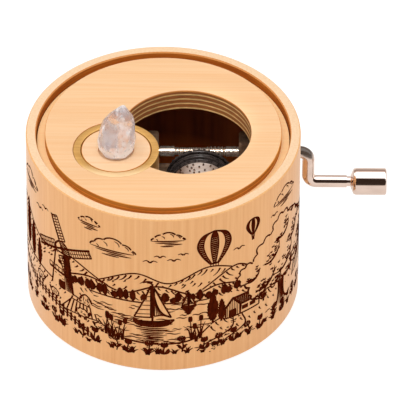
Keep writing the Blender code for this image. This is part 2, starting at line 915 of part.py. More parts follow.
def make_drive_wheel(axis):
    depth = teeth_top_y - teeth_floor_y
    floor = wheel_width - depth - wheel_recess_extra
    band_start = wheel_width - wheel_rim_width - wheel_band_width
    groove_start = band_start - wheel_groove_width
    plug_radius = cylinder_bore_radius - fit_gap
    hole_radius = arbor_radius + fit_gap
    inner_radius = wheel_radius - wheel_tooth_length
    band_radius = wheel_radius - wheel_band_drop
    groove_radius = wheel_radius - wheel_groove_drop
    front_radius = wheel_radius - wheel_front_drop
    profile = [
        (hole_radius, floor),
        (inner_radius, floor),
        (inner_radius, wheel_width),
        (wheel_radius, wheel_width),
        (wheel_radius, wheel_width - wheel_rim_width),
        (band_radius, wheel_width - wheel_rim_width),
        (band_radius, band_start),
        (groove_radius, band_start),
        (groove_radius, groove_start),
        (front_radius, groove_start),
        (front_radius, 0),
        (plug_radius, 0),
        (plug_radius, -wheel_boss_length),
        (hole_radius, -wheel_boss_length)]
    wheel = turned("drive_wheel", profile, wheel_sides, parts, closed=True)
    slots = bmesh.new()
    for number in range(wheel_teeth):
        slot = loft("slot", tooth_gap(number, depth), guides)
        slots.from_mesh(slot.data)
        bpy.data.objects.remove(slot, do_unlink=True)
    cutter = add_object("tooth_gaps", mesh_from(slots, "tooth_gaps"), guides)
    cutter.parent = wheel
    cut(wheel, cutter)
    turn_to_y(placed(wheel, cylinder_x, wheel_front_y, cylinder_z))
    return carry(finish(wheel, black_plastic), axis)


def make_cylinder_cap(axis):
    plug_radius = cylinder_bore_radius - fit_gap
    flange_radius = cylinder_radius - cap_flange_overlap
    hole_radius = arbor_radius + fit_gap
    profile = [
        (hole_radius, cap_plug_length),
        (plug_radius, cap_plug_length),
        (plug_radius, -fit_gap),
        (flange_radius, -fit_gap),
        (flange_radius, -fit_gap - cap_flange_thickness),
        (hole_radius, -fit_gap - cap_flange_thickness)]
    cap = turned("cylinder_cap", profile, cap_sides, parts, closed=True)
    turn_to_y(placed(cap, cylinder_x, cylinder_front_y, cylinder_z))
    return carry(finish(cap, brass), axis)


def make_cylinder_arbor(axis):
    front = bracket_front_y - arbor_end
    rear = rear_wall_y + rear_wall_thickness + arbor_end
    body_rear = rear_wall_y - seat_gap
    profile = [
        (0, rear - front),
        (arbor_journal_radius, rear - front),
        (arbor_journal_radius, body_rear - front),
        (arbor_radius, body_rear - front),
        (arbor_radius, arbor_front_y - front),
        (arbor_journal_radius, arbor_front_y - front),
        (arbor_journal_radius, 0),
        (0, 0)]
    arbor = turned("cylinder_arbor", profile, shaft_sides, parts)
    turn_to_y(placed(arbor, cylinder_x, front, cylinder_z))
    return carry(finish(arbor, steel), axis)


# Crank group, turned about the rod
def worm_ring(x, height):
    offsets = (-worm_base_share, -worm_crest_share, 0, worm_crest_share, worm_base_share, 1 / 2)
    tops = (0, 1, 1, 1, 0, 0)
    twist = math.pi + 2 * math.pi * (x - ridge_x) / worm_lead
    ring = []
    for start in range(worm_starts):
        for offset, top in zip(offsets, tops):
            angle = twist + 2 * math.pi * (start + offset) / worm_starts
            radius = worm_root_radius + top * height
            ring.append((x, crank_y + radius * math.cos(angle), crank_z + radius * math.sin(angle)))
    return ring


def thread_height(x, start_x, end_x):
    full = rod_radius - worm_root_radius
    low = worm_relief_radius - worm_root_radius
    side = min(max((x - cylinder_x - worm_ramp_start) / worm_ramp_length, 0), 1)
    run_out = min((x - start_x) / worm_stub, (end_x - x) / worm_stub, 1)
    return max(run_out, 0) * (low + (full - low) * side)


def make_worm():
    start_x = cylinder_x - worm_length / 2
    end_x = cylinder_x + worm_length / 2
    step = worm_lead / worm_steps_per_turn
    count = math.ceil(worm_length / step)
    rings = [worm_ring(start_x - worm_stub, 0)]
    for index in range(count + 1):
        x = start_x + worm_length * index / count
        rings.append(worm_ring(x, thread_height(x, start_x, end_x)))
    rings.append(worm_ring(end_x + worm_stub, 0))
    return loft("worm", rings, guides)


def bend(middle_x, middle_z, first_angle, last_angle):
    points = []
    for step in range(bend_steps + 1):
        angle = first_angle + (last_angle - first_angle) * step / bend_steps
        x = middle_x + bend_radius * math.cos(angle)
        z = middle_z + bend_radius * math.sin(angle)
        points.append((x, crank_y, z))
    return points


def make_crank_rod(axis):
    route = [(wire_x, crank_y, crank_z)]
    route += bend(arm_x - bend_radius, crank_z - bend_radius, math.pi / 2, 0)
    route += bend(arm_x + bend_radius, handle_z + bend_radius, math.pi, 3 * math.pi / 2)
    route.append((rod_end_x, crank_y, handle_z))
    rod = wire("crank_rod", route, wire_radius, parts)
    worm_end_x = cylinder_x + worm_length / 2
    shaft_profile = [
        (0, wire_x + overrun),
        (rod_radius, wire_x + overrun),
        (rod_radius, worm_end_x),
        (0, worm_end_x)]
    shaft = turned("shaft", shaft_profile, shaft_sides, guides)
    turn_to_x(placed(shaft, 0, crank_y, crank_z))
    shoulder_x = left_post_x + seat_gap
    clip_x = left_post_x - post_thickness - seat_gap
    groove_low = clip_x - clip_thickness - clip_groove_play
    tail_x = groove_low - journal_end
    worm_start_x = cylinder_x - worm_length / 2
    profile = [
        (0, worm_start_x),
        (rod_radius, worm_start_x),
        (rod_radius, shoulder_x),
        (journal_radius, shoulder_x),
        (journal_radius, clip_x + clip_groove_play),
        (clip_groove_radius, clip_x + clip_groove_play),
        (clip_groove_radius, groove_low),
        (journal_radius, groove_low),
        (journal_radius, tail_x),
        (0, tail_x)]
    journal = turned("journal", profile, shaft_sides, guides)
    turn_to_x(placed(journal, 0, crank_y, crank_z))
    join(rod, shaft)
    join(rod, make_worm())
    join(rod, journal)
    head_x = knob_inner_x + knob_lip_length + fit_gap
    pin_profile = [
        (0, head_x + head_length),
        (head_radius, head_x + head_length),
        (head_radius, head_x),
        (neck_radius, head_x),
        (neck_radius, rod_end_x - overrun),
        (0, rod_end_x - overrun)]
    pin = turned("knob_pin", pin_profile, shaft_sides, guides)
    turn_to_x(placed(pin, 0, crank_y, handle_z))
    join(rod, pin)
    return carry(finish(rod, nickel), axis)


def make_retaining_clip(axis):
    radius = clip_groove_radius + fit_gap
    profile = [
        (radius, clip_thickness / 2),
        (clip_radius, clip_thickness / 2),
        (clip_radius, -clip_thickness / 2),
        (radius, -clip_thickness / 2)]
    clip = turned("retaining_clip", profile, bearing_sides, parts, closed=True)
    low = (-clip_radius - overrun, -radius, -clip_thickness)
    high = (0, radius, clip_thickness)
    mouth = boxes("clip_mouth", [(low, high)], guides)
    mouth.parent = clip
    cut(clip, mouth)
    clip_x = left_post_x - post_thickness - seat_gap - clip_thickness / 2
    turn_to_x(placed(clip, clip_x, crank_y, crank_z))
    return carry(finish(clip, steel), axis)


def make_crank_knob(axis):
    neck_hole = neck_radius + fit_gap
    cavity = head_radius + fit_gap
    cavity_end = knob_lip_length + head_length + fit_gap + knob_end_gap
    profile = [
        (0, knob_length),
        (knob_radius - knob_outer_bevel, knob_length),
        (knob_radius, knob_length - knob_outer_bevel),
        (knob_radius, knob_inner_bevel),
        (knob_radius - knob_inner_bevel, 0),
        (neck_hole, 0),
        (neck_hole, knob_lip_length),
        (cavity, knob_lip_length),
        (cavity, cavity_end),
        (0, cavity_end)]
    knob = turned("crank_knob", profile, knob_sides, parts)
    turn_to_x(placed(knob, knob_inner_x, crank_y, handle_z))
    return carry(finish(knob, nickel), axis)


make_case_tube()
make_top_panel()
make_brass_ring()
make_crystal_disc()
make_crystal()
make_base_plate()
make_mount_screws()
make_movement_frame()
make_front_bracket()
make_bracket_screws()
make_comb_base()
make_comb()
make_comb_screws()
cylinder_axis = axis_empty("cylinder_axis", cylinder_x, cylinder_middle_y, cylinder_z)
make_music_cylinder(cylinder_axis)
make_drive_wheel(cylinder_axis)
make_cylinder_cap(cylinder_axis)
make_cylinder_arbor(cylinder_axis)
crank_axis = axis_empty("crank_axis", arm_x, crank_y, crank_z)
make_crank_rod(crank_axis)
make_retaining_clip(crank_axis)
knob_axis = axis_empty("knob_axis", knob_inner_x, crank_y, handle_z)
make_crank_knob(knob_axis)
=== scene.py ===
import math

import bmesh
import bpy
import numpy as np
from mathutils import Matrix, Vector


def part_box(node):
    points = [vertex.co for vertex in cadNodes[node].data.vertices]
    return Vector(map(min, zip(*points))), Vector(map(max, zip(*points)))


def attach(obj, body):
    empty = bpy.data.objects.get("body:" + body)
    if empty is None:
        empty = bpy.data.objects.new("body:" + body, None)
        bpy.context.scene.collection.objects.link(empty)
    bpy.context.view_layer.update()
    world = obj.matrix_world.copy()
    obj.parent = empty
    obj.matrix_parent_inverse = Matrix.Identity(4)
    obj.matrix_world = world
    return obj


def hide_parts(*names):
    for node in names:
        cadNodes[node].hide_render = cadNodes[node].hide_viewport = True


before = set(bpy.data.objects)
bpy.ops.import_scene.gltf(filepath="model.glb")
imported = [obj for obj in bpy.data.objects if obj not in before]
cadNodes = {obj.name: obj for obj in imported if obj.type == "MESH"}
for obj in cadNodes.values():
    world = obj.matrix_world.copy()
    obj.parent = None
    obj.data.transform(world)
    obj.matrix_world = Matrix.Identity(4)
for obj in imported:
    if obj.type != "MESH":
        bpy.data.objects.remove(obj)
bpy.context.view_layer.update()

# Looks of a bamboo music box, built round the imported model. Lengths are in metres, mostly as a number times mm.
mm = 0.001
tubeLow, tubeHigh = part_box("case_tube")
print("frame loaded:", len(cadNodes), "nodes")


def rgb(red, green, blue):
    """The linear colour of a screen colour."""
    return tuple(((c / 255 + 0.055) / 1.055) ** 2.4 if c > 10 else c / 3294.6 for c in (red, green, blue)) + (1,)


# Node helpers
def put(tree, kind, links=None, **settings):
    node = tree.nodes.new(kind)
    for key, value in settings.items():
        setattr(node, key, value)
    for key, value in (links or {}).items():
        socket = node.inputs[key]
        if isinstance(value, bpy.types.NodeSocket):
            tree.links.new(value, socket)
        else:
            socket.default_value = value
    return node


def newFinish(name, colour, roughness=0.5, metallic=0, **more):
    material = bpy.data.materials.new(name)
    material.use_nodes = True
    shader = material.node_tree.nodes["Principled BSDF"]
    shader.inputs["Base Color"].default_value = colour
    shader.inputs["Roughness"].default_value = roughness
    shader.inputs["Metallic"].default_value = metallic
    for key, value in more.items():
        shader.inputs[key.replace("_", " ")].default_value = value
    material.diffuse_color = colour
    return material, material.node_tree, shader


def objectCoords(tree, scale=(1, 1, 1), turn=(0, 0, 0), shift=(0, 0, 0)):
    coords = put(tree, "ShaderNodeTexCoord")
    return put(tree, "ShaderNodeMapping", {
        "Vector": coords.outputs["Object"], "Location": shift, "Rotation": turn, "Scale": scale}).outputs[0]


def noise(tree, vector, scale=1, detail=3, roughness=0.5):
    return put(tree, "ShaderNodeTexNoise", {
        "Vector": vector, "Scale": scale, "Detail": detail, "Roughness": roughness}).outputs["Fac"]


def ramp(tree, factor, *stops):
    node = put(tree, "ShaderNodeValToRGB", {"Fac": factor})
    elements = node.color_ramp.elements
    while len(elements) < len(stops):
        elements.new(1)
    for element, (place, colour) in zip(elements, stops):
        element.position = place
        element.color = colour
    return node.outputs["Color"]


def grey(value):
    return (value, value, value, 1)


def blendColours(tree, factor, first, second, mode="MIX"):
    node = put(tree, "ShaderNodeMix", data_type="RGBA", blend_type=mode)
    for socket, value in ((node.inputs[0], factor), (node.inputs[6], first), (node.inputs[7], second)):
        if isinstance(value, bpy.types.NodeSocket):
            tree.links.new(value, socket)
        else:
            socket.default_value = value
    return node.outputs[2]


def maths(tree, operation, first, second=0.5):
    return put(tree, "ShaderNodeMath", {0: first, 1: second}, operation=operation).outputs[0]


def addBump(tree, shader, height, strength, distance):
    bump = put(tree, "ShaderNodeBump", {"Height": height, "Strength": strength, "Distance": distance})
    tree.links.new(bump.outputs[0], shader.inputs["Normal"])


# Wood finishes
woodLook = {
    "wallLight": rgb(249, 191, 130),
    "wallMid": rgb(244, 182, 120),
    "wallDark": rgb(236, 169, 106),
    "rimLight": rgb(250, 216, 178),
    "rimDark": rgb(240, 198, 152),
    "topLight": rgb(250, 205, 157),
    "topDark": rgb(243, 187, 130),
    # The inside browns are darker than the bamboo: partly the wood's own tone, partly painted shade of the closed tube
    "insideLight": rgb(165, 82, 30),
    "insideDark": rgb(118, 50, 16),
    "insideWindowLit": rgb(236, 120, 30),
    "plyLight": rgb(255, 216, 142),
    "plyDark": rgb(174, 103, 51),
}


def makeWallWood():
    material, tree, shader = newFinish("bambooWall", woodLook["wallMid"], 0.5, Sheen_Weight=0.5, Sheen_Roughness=0.35)
    streaks = noise(tree, objectCoords(tree, (1300, 1300, 26)), detail=4, roughness=0.55)
    fibres = noise(tree, objectCoords(tree, (2300, 2300, 90), shift=(3, 1, 2)), detail=2)
    clouds = noise(tree, objectCoords(tree, (60, 60, 25), shift=(1, 5, 0)), detail=1)
    tone = ramp(tree, streaks, (0.3, woodLook["wallLight"]), (0.52, woodLook["wallMid"]), (0.78, woodLook["wallDark"]))
    thin = ramp(tree, fibres, (0.5, grey(1)), (0.8, (0.96, 0.925, 0.87, 1)))
    wide = ramp(tree, clouds, (0.3, grey(0.97)), (0.7, grey(1)))
    colour = blendColours(tree, 1, blendColours(tree, 1, tone, thin, "MULTIPLY"), wide, "MULTIPLY")
    tree.links.new(colour, shader.inputs["Base Color"])
    addBump(tree, shader, fibres, 0.12, 0.05 * mm)
    return material


def makeEndGrain(name, light, dark):
    material, tree, shader = newFinish(name, light, 0.6)
    dots = noise(tree, objectCoords(tree, (1900, 1900, 300)), detail=2)
    tone = ramp(tree, dots, (0.35, light), (0.9, dark))
    tree.links.new(tone, shader.inputs["Base Color"])
    addBump(tree, shader, dots, 0.08, 0.03 * mm)
    return material


def makeTopWood(name, light, dark, shift, glow=0):
    # With glow above zero, the wood gives off light of its own colour: painted light
    material, tree, shader = newFinish(name, light, 0.5, Emission_Color=light, Emission_Strength=glow)
    lines = noise(tree, objectCoords(tree, (22, 1300, 600), shift=shift), detail=4, roughness=0.6)
    broad = noise(tree, objectCoords(tree, (12, 160, 80), shift=shift), detail=2)
    tone = ramp(tree, lines, (0.4, light), (0.8, dark))
    wide = ramp(tree, broad, (0.35, grey(1)), (0.72, grey(0.97)))
    tree.links.new(blendColours(tree, 1, tone, wide, "MULTIPLY"), shader.inputs["Base Color"])
    addBump(tree, shader, lines, 0.12, 0.03 * mm)
    return material


burntLook = {"top": 50.5 * mm, "depth": 2.4 * mm}


def makeBurntEdge(name, light, dark, line):
    material, tree, shader = newFinish(name, light, 0.75, Specular_IOR_Level=0.2)
    coords = put(tree, "ShaderNodeTexCoord").outputs["Object"]
    height = put(tree, "ShaderNodeSeparateXYZ", {"Vector": coords}).outputs["Z"]
    depth = maths(tree, "DIVIDE", maths(tree, "SUBTRACT", burntLook["top"], height), burntLook["depth"])
    layers = ramp(tree, depth, (0, grey(0.9)), (0.14, grey(0.66)), (0.42, grey(0.64)), (0.54, grey(line)), (0.66, grey(0.6)), (1, grey(0.74)))
    scorch = noise(tree, objectCoords(tree, (90, 90, 1500)), detail=3)
    tone = ramp(tree, scorch, (0.3, light), (0.7, dark))
    tree.links.new(blendColours(tree, 1, tone, layers, "MULTIPLY"), shader.inputs["Base Color"])
    addBump(tree, shader, scorch, 0.3, 0.05 * mm)
    return material


def makeInsideWood():
    material, tree, shader = newFinish("darkInside", woodLook["insideDark"], 0.8)
    stain = noise(tree, objectCoords(tree, (300, 300, 30)), detail=3)
    tone = ramp(tree, stain, (0.3, woodLook["insideDark"]), (0.8, woodLook["insideLight"]))
    # Below about 18 mm up, the inside is painted lighter and more orange, as painted light falling in through the
    # window
    height = put(tree, "ShaderNodeSeparateXYZ", {"Vector": objectCoords(tree)}).outputs["Z"]
    share = ramp(tree, maths(tree, "DIVIDE", height, 30 * mm), (0.6, grey(0.85)), (0.85, grey(0)))
    tree.links.new(blendColours(tree, share, tone, woodLook["insideWindowLit"]), shader.inputs["Base Color"])
    return material


plyLook = {"top": 50.5 * mm, "layer": 1.45 * mm, "phase": 0.845 * mm, "singe": rgb(244, 160, 80)}


def makePlyEdge():
    material, tree, shader = newFinish("plyEdge", woodLook["plyDark"], 0.75)
    coords = put(tree, "ShaderNodeTexCoord").outputs["Object"]
    height = put(tree, "ShaderNodeSeparateXYZ", {"Vector": coords}).outputs["Z"]
    wander = noise(tree, objectCoords(tree, (420, 420, 700)), detail=4, roughness=0.6)
    depth = maths(tree, "SUBTRACT", plyLook["top"], height)
    depth = maths(tree, "ADD", depth, maths(tree, "MULTIPLY", maths(tree, "SUBTRACT", wander, 0.5), 0.3 * mm))
    layers = maths(tree, "FRACT", maths(tree, "DIVIDE", maths(tree, "ADD", depth, plyLook["phase"]), plyLook["layer"]))
    light, dark = woodLook["plyLight"], woodLook["plyDark"]
    tone = ramp(tree, layers, (0.3, dark), (0.43, light), (0.57, light), (0.7, dark))
    grain = noise(tree, objectCoords(tree, (300, 300, 4200)), detail=4, roughness=0.65)
    tone = blendColours(tree, 1, tone, ramp(tree, grain, (0.36, grey(1.12)), (0.64, grey(0.62))), "MULTIPLY")
    near = ramp(tree, maths(tree, "DIVIDE", depth, 0.6 * mm), (0.5, grey(1)), (0.9, grey(0)))
    tree.links.new(blendColours(tree, near, tone, plyLook["singe"]), shader.inputs["Base Color"])
    addBump(tree, shader, grain, 0.4, 0.06 * mm)
    return material


# Metal, stone and plastic finishes
def makeBrushed(name, colour, dark, roughness, scale, metallic=1):
    material, tree, shader = newFinish(name, colour, roughness, metallic)
    lines = noise(tree, objectCoords(tree, scale), detail=3)
    tree.links.new(ramp(tree, lines, (0.3, colour), (0.75, dark)), shader.inputs["Base Color"])
    spread = ramp(tree, lines, (0.3, grey(roughness * 0.85)), (0.7, grey(min(1, roughness * 1.25))))
    tree.links.new(spread, shader.inputs["Roughness"])
    addBump(tree, shader, lines, 0.15, 0.01 * mm)
    return material


ringPaintedReflection = {"front": -17.2 * mm, "depth": 4.2 * mm, "bright": rgb(248, 214, 162), "colour": rgb(236, 191, 115), "dark": rgb(214, 165, 91)}


def makeRingBrass():
    material = makeBrushed("brushedBrass", ringPaintedReflection["colour"], ringPaintedReflection["dark"], 0.36, (120, 1500, 900), metallic=0.8)
    tree = material.node_tree
    shader = tree.nodes["Principled BSDF"]
    tone = shader.inputs["Base Color"].links[0].from_socket
    # The ring's front is painted lighter and made less metallic, as a painted reflection of something bright in front
    # of it
    coords = put(tree, "ShaderNodeTexCoord").outputs["Object"]
    across = put(tree, "ShaderNodeSeparateXYZ", {"Vector": coords}).outputs["Y"]
    share = maths(tree, "DIVIDE", maths(tree, "SUBTRACT", across, ringPaintedReflection["front"]), ringPaintedReflection["depth"])
    reflectionShare = ramp(tree, share, (0.1, grey(1)), (1, grey(0)))
    tree.links.new(blendColours(tree, reflectionShare, tone, ringPaintedReflection["bright"]), shader.inputs["Base Color"])
    tree.links.new(ramp(tree, share, (0.1, grey(0.35)), (1, grey(0.8))), shader.inputs["Metallic"])
    return material


wireLook = {"wallEnd": 38.1 * mm, "fade": 0.7 * mm, "height": 52.2 * mm, "slope": 0.6, "rise": 0.6 * mm, "paintedReflection": rgb(50, 36, 24)}


def makePolished(name, colour, dark):
    material, tree, shader = newFinish(name, colour, 0.1, 1)
    haze = noise(tree, objectCoords(tree, (160, 500, 500)), detail=3)
    tree.links.new(ramp(tree, haze, (0.4, colour), (0.85, dark)), shader.inputs["Base Color"])
    tree.links.new(ramp(tree, haze, (0.35, grey(0.07)), (0.8, grey(0.16))), shader.inputs["Roughness"])
    return material


def makeWireNickel(colour, dark):
    material = makePolished("wireNickel", colour, dark)
    tree = material.node_tree
    shader = tree.nodes["Principled BSDF"]
    tone = shader.inputs["Base Color"].links[0].from_socket
    parts = put(tree, "ShaderNodeSeparateXYZ", {"Vector": objectCoords(tree)}).outputs
    # The wire's upper side is painted dark brown where it leaves the wall, a painted reflection, and is made
    # non-metallic there
    near = maths(tree, "DIVIDE", maths(tree, "SUBTRACT", parts["X"], wireLook["wallEnd"]), wireLook["fade"])
    slanted = maths(tree, "ADD", parts["Z"], maths(tree, "MULTIPLY", parts["X"], wireLook["slope"]))
    above = maths(tree, "DIVIDE", maths(tree, "SUBTRACT", slanted, wireLook["height"]), wireLook["rise"])
    share = maths(tree, "MULTIPLY", ramp(tree, near, (0, grey(0.9)), (1, grey(0))), ramp(tree, above, (0, grey(0)), (1, grey(1))))
    tree.links.new(blendColours(tree, share, tone, wireLook["paintedReflection"]), shader.inputs["Base Color"])
    tree.links.new(maths(tree, "SUBTRACT", 1, share), shader.inputs["Metallic"])
    return material


threadShadeLines = {"pitch": 0.47 * mm, "dark": (0.34, 0.25, 0.18, 1)}


def makeThreadNickel():
    """The shaft's finish with fine dark lines across it, painted shade of the thread's grooves."""
    material = makeBrushed("threadNickel", rgb(255, 243, 228), rgb(234, 212, 190), 0.3, (500, 2400, 2400), metallic=0.85)
    tree = material.node_tree
    shader = tree.nodes["Principled BSDF"]
    tone = shader.inputs["Base Color"].links[0].from_socket
    along = put(tree, "ShaderNodeSeparateXYZ", {"Vector": objectCoords(tree)}).outputs["X"]
    lineStep = maths(tree, "FRACT", maths(tree, "DIVIDE", along, threadShadeLines["pitch"]))
    paintedShadeLines = ramp(tree, lineStep, (0, grey(1)), (0.4, grey(1)), (0.6, threadShadeLines["dark"]), (0.8, threadShadeLines["dark"]), (1, grey(1)))
    tree.links.new(blendColours(tree, 1, tone, paintedShadeLines, "MULTIPLY"), shader.inputs["Base Color"])
    return material


drumPaintedLight = {"x": 9.4 * mm, "width": 5.6 * mm, "middle": rgb(236, 218, 206), "side": rgb(140, 100, 76)}


def makeDrumMetal():
    material = makeBrushed("drumMetal", drumPaintedLight["middle"], rgb(200, 178, 162), 0.42, (300, 2200, 300), metallic=0.45)
    tree = material.node_tree
    shader = tree.nodes["Principled BSDF"]
    tone = shader.inputs["Base Color"].links[0].from_socket
    # The drum is painted light in its middle and dark brown towards its left and right flanks: a painted highlight on
    # top and painted shade on the flanks
    across = put(tree, "ShaderNodeSeparateXYZ", {"Vector": put(tree, "ShaderNodeTexCoord").outputs["Object"]}).outputs["X"]
    away = maths(tree, "ABSOLUTE", maths(tree, "DIVIDE", maths(tree, "SUBTRACT", across, drumPaintedLight["x"]), drumPaintedLight["width"]))
    tree.links.new(blendColours(tree, ramp(tree, away, (0.35, grey(0)), (1, grey(0.9))), tone, drumPaintedLight["side"]), shader.inputs["Base Color"])
    return material


def makeCastMetal(name, light, dark):
    material, tree, shader = newFinish(name, light, 0.45, 0.35)
    skin = noise(tree, objectCoords(tree, (700, 700, 700)), detail=4)
    tree.links.new(ramp(tree, skin, (0.35, light), (0.7, dark)), shader.inputs["Base Color"])
    tree.links.new(ramp(tree, skin, (0.3, grey(0.35)), (0.7, grey(0.6))), shader.inputs["Roughness"])
    addBump(tree, shader, skin, 0.35, 0.06 * mm)
    return material


def makeNylon():
    material, tree, shader = newFinish("blackNylon", rgb(52, 45, 42), 0.3)
    skin = noise(tree, objectCoords(tree, (900, 900, 900)), detail=2)
    tree.links.new(ramp(tree, skin, (0.4, rgb(46, 40, 38)), (0.75, rgb(74, 64, 60))), shader.inputs["Base Color"])
    tree.links.new(ramp(tree, skin, (0.3, grey(0.22)), (0.7, grey(0.36))), shader.inputs["Roughness"])
    return material


quartzLook = {"foot": 49.8 * mm, "footHeight": 5.5 * mm, "height": 15 * mm, "paintedWoodTint": rgb(240, 192, 162), "footPaintedLight": 0.07}


def makeQuartz():
    material, tree, shader = newFinish("milkyQuartz", rgb(255, 250, 249), 0.1, IOR=1.33)
    veils = noise(tree, objectCoords(tree, (260, 260, 200), shift=(2.3, 0.4, 1.7)), detail=3)
    flecks = noise(tree, objectCoords(tree, (1500, 1500, 700), shift=(4, 2, 1)), detail=3)
    low = put(tree, "ShaderNodeSeparateXYZ", {"Vector": put(tree, "ShaderNodeTexCoord").outputs["Object"]}).outputs["Z"]
    foot = ramp(tree, maths(tree, "DIVIDE", maths(tree, "SUBTRACT", low, quartzLook["foot"]), quartzLook["footHeight"]),
                (0.1, grey(0.36)), (1, grey(0)))
    clear = maths(tree, "SUBTRACT", veils, foot)
    clear = ramp(tree, clear, (0.4, grey(0.15)), (0.5, grey(0.95)))
    tree.links.new(clear, shader.inputs["Transmission Weight"])
    tone = ramp(tree, flecks, (0.3, rgb(190, 166, 160)), (0.38, rgb(243, 240, 242)))
    # The stone's middle is painted with the warm colour of the wood seen through it, and its foot is painted lighter
    # with a faint glow: painted light
    height = maths(tree, "DIVIDE", maths(tree, "SUBTRACT", low, quartzLook["foot"]), quartzLook["height"])
    patches = noise(tree, objectCoords(tree, (330, 330, 260), shift=(1, 6, 3)), detail=2)
    woodTintShare = maths(tree, "MULTIPLY", ramp(tree, height, (0.16, grey(0)), (0.34, grey(0.85)), (0.6, grey(0.6)), (0.85, grey(0.1))),
                   ramp(tree, patches, (0.42, grey(0.15)), (0.56, grey(1))))
    tree.links.new(blendColours(tree, woodTintShare, tone, quartzLook["paintedWoodTint"]), shader.inputs["Base Color"])
    tree.links.new(ramp(tree, height, (0.05, grey(quartzLook["footPaintedLight"])), (0.3, grey(0))), shader.inputs["Emission Strength"])
    shader.inputs["Emission Color"].default_value = (0.92, 0.97, 1, 1)
    tree.links.new(ramp(tree, veils, (0.35, grey(0.28)), (0.6, grey(0.06))), shader.inputs["Roughness"])
    addBump(tree, shader, veils, 0.4, 0.4 * mm)
    return material


def makeInk():
    material, tree, shader = newFinish("engravedBrown", rgb(66, 18, 6), 0.95, Specular_IOR_Level=0)
    char = noise(tree, objectCoords(tree, (1400, 1400, 500)), detail=3)
    tree.links.new(ramp(tree, char, (0.35, rgb(60, 15, 4)), (0.75, rgb(92, 30, 9))), shader.inputs["Base Color"])
    return material


wallWood = makeWallWood()
rimWood = makeEndGrain("rimEndGrain", woodLook["rimLight"], woodLook["rimDark"])
edgeWood = makeEndGrain("rimBevel", rgb(246, 190, 128), rgb(232, 168, 104))
innerEdgeWood = makeEndGrain("rimInnerBevel", rgb(240, 168, 92), rgb(222, 146, 74))
topWood = makeTopWood("panelVeneer", woodLook["topLight"], woodLook["topDark"], (0, 0, 0))
# The groove's wood glows faintly: painted light standing in for light bounced into the groove
grooveWood = makeTopWood("grooveWood", rgb(253, 212, 156), rgb(243, 194, 130), (5, 1, 3), 0.2)
discWood = makeTopWood("discVeneer", rgb(253, 214, 174), rgb(246, 196, 142), (7, 3, 1))
baseWood = makeTopWood("baseVeneer", rgb(240, 194, 142), rgb(220, 164, 104), (2, 8, 4))
burntEdge = makeBurntEdge("burntEdge", rgb(255, 176, 76), rgb(226, 136, 52), 1)
burntBore = makeBurntEdge("burntBore", rgb(220, 132, 44), rgb(188, 100, 28), 0.66)
insideWood = makeInsideWood()
plyEdge = makePlyEdge()
brass = makeRingBrass()
brassPlain = makeBrushed("turnedBrass", rgb(214, 168, 96), rgb(182, 134, 70), 0.3, (900, 900, 900))
steel = makeBrushed("turnedSteel", rgb(196, 192, 190), rgb(150, 146, 144), 0.28, (500, 500, 1800))
combSteel = makeBrushed("combSteel", rgb(186, 186, 190), rgb(132, 134, 142), 0.25, (1700, 120, 400))
drumMetal = makeDrumMetal()
pinSteel = makeBrushed("pinSteel", rgb(150, 128, 116), rgb(90, 74, 66), 0.25, (900, 900, 900))
nickel = makePolished("nickelPlate", rgb(238, 223, 214), rgb(220, 203, 193))
wireNickel = makeWireNickel(rgb(238, 223, 214), rgb(220, 203, 193))
shaftNickel = makeBrushed("shaftNickel", rgb(255, 243, 228), rgb(234, 212, 190), 0.27, (500, 2400, 2400), metallic=0.88)
threadNickel = makeThreadNickel()
castZinc = makeCastMetal("castZinc", rgb(160, 128, 102), rgb(112, 86, 68))
nylon = makeNylon()
quartz = makeQuartz()
ink = makeInk()
print("finishes made")


# Mesh helpers
def newPiece(name, mesh, body, slot, *replaced):
    piece = bpy.data.objects.new(name, mesh)
    bpy.context.scene.collection.objects.link(piece)
    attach(piece, body)
    if replaced:
        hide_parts(*replaced)
    return piece


def smooth(mesh, angle=32):
    mesh.shade_smooth()
    mesh.set_sharp_from_angle(angle=math.radians(angle))
    return mesh


def eased(points, steps=3):
    """A profile of (radius, height, finish, fillet) with its fillets drawn as short curves."""
    profile = []
    for index, (radius, height, finish, fillet) in enumerate(points):
        corner = Vector((radius, height))
        if not fillet:
            profile.append((radius, height, finish))
            continue
        before = Vector(points[index - 1][:2])
        after = Vector(points[(index + 1) % len(points)][:2])
        start = corner + (before - corner).normalized() * fillet
        end = corner + (after - corner).normalized() * fillet
        for step in range(steps + 1):
            t = step / steps
            place = start * (1 - t) ** 2 + corner * 2 * t * (1 - t) + end * t ** 2
            profile.append((place.x, place.y, points[index - 1][2] if t < 0.5 else finish))
    return profile


def lathe(name, profile, sides, finishes, closed=False, axis="Z", place=(0, 0, 0)):
    """A turned solid. Each row of the profile is a radius, a height and the finish of the band that follows."""
    build = bmesh.new()
    rows = []
    for radius, height, finish in profile:
        if radius < 1e-9:
            rows.append([build.verts.new((0, 0, height))])
        else:
            rows.append([build.verts.new((
                radius * math.cos(2 * math.pi * k / sides), radius * math.sin(2 * math.pi * k / sides), height))
                for k in range(sides)])
    pairs = list(zip(range(len(rows)), range(1, len(rows))))
    if closed:
        pairs.append((len(rows) - 1, 0))
    for a, b in pairs:
        for k in range(sides):
            n = (k + 1) % sides
            first, second = rows[a], rows[b]
            if len(first) == 1:
                corners = (first[0], second[k], second[n])
            elif len(second) == 1:
                corners = (first[k], second[0], first[n])
            else:
                corners = (first[k], second[k], second[n], first[n])
            face = build.faces.new(corners)
            face.material_index = profile[a][2]
    bmesh.ops.recalc_face_normals(build, faces=build.faces)
    turn = {"Z": Matrix(), "X": Matrix.Rotation(math.pi / 2, 4, "Y"), "Y": Matrix.Rotation(-math.pi / 2, 4, "X")}
    build.transform(Matrix.Translation(place) @ turn[axis])
    mesh = bpy.data.meshes.new(name)
    build.to_mesh(mesh)
    build.free()
    for finish in finishes:
        mesh.materials.append(finish)
    return mesh


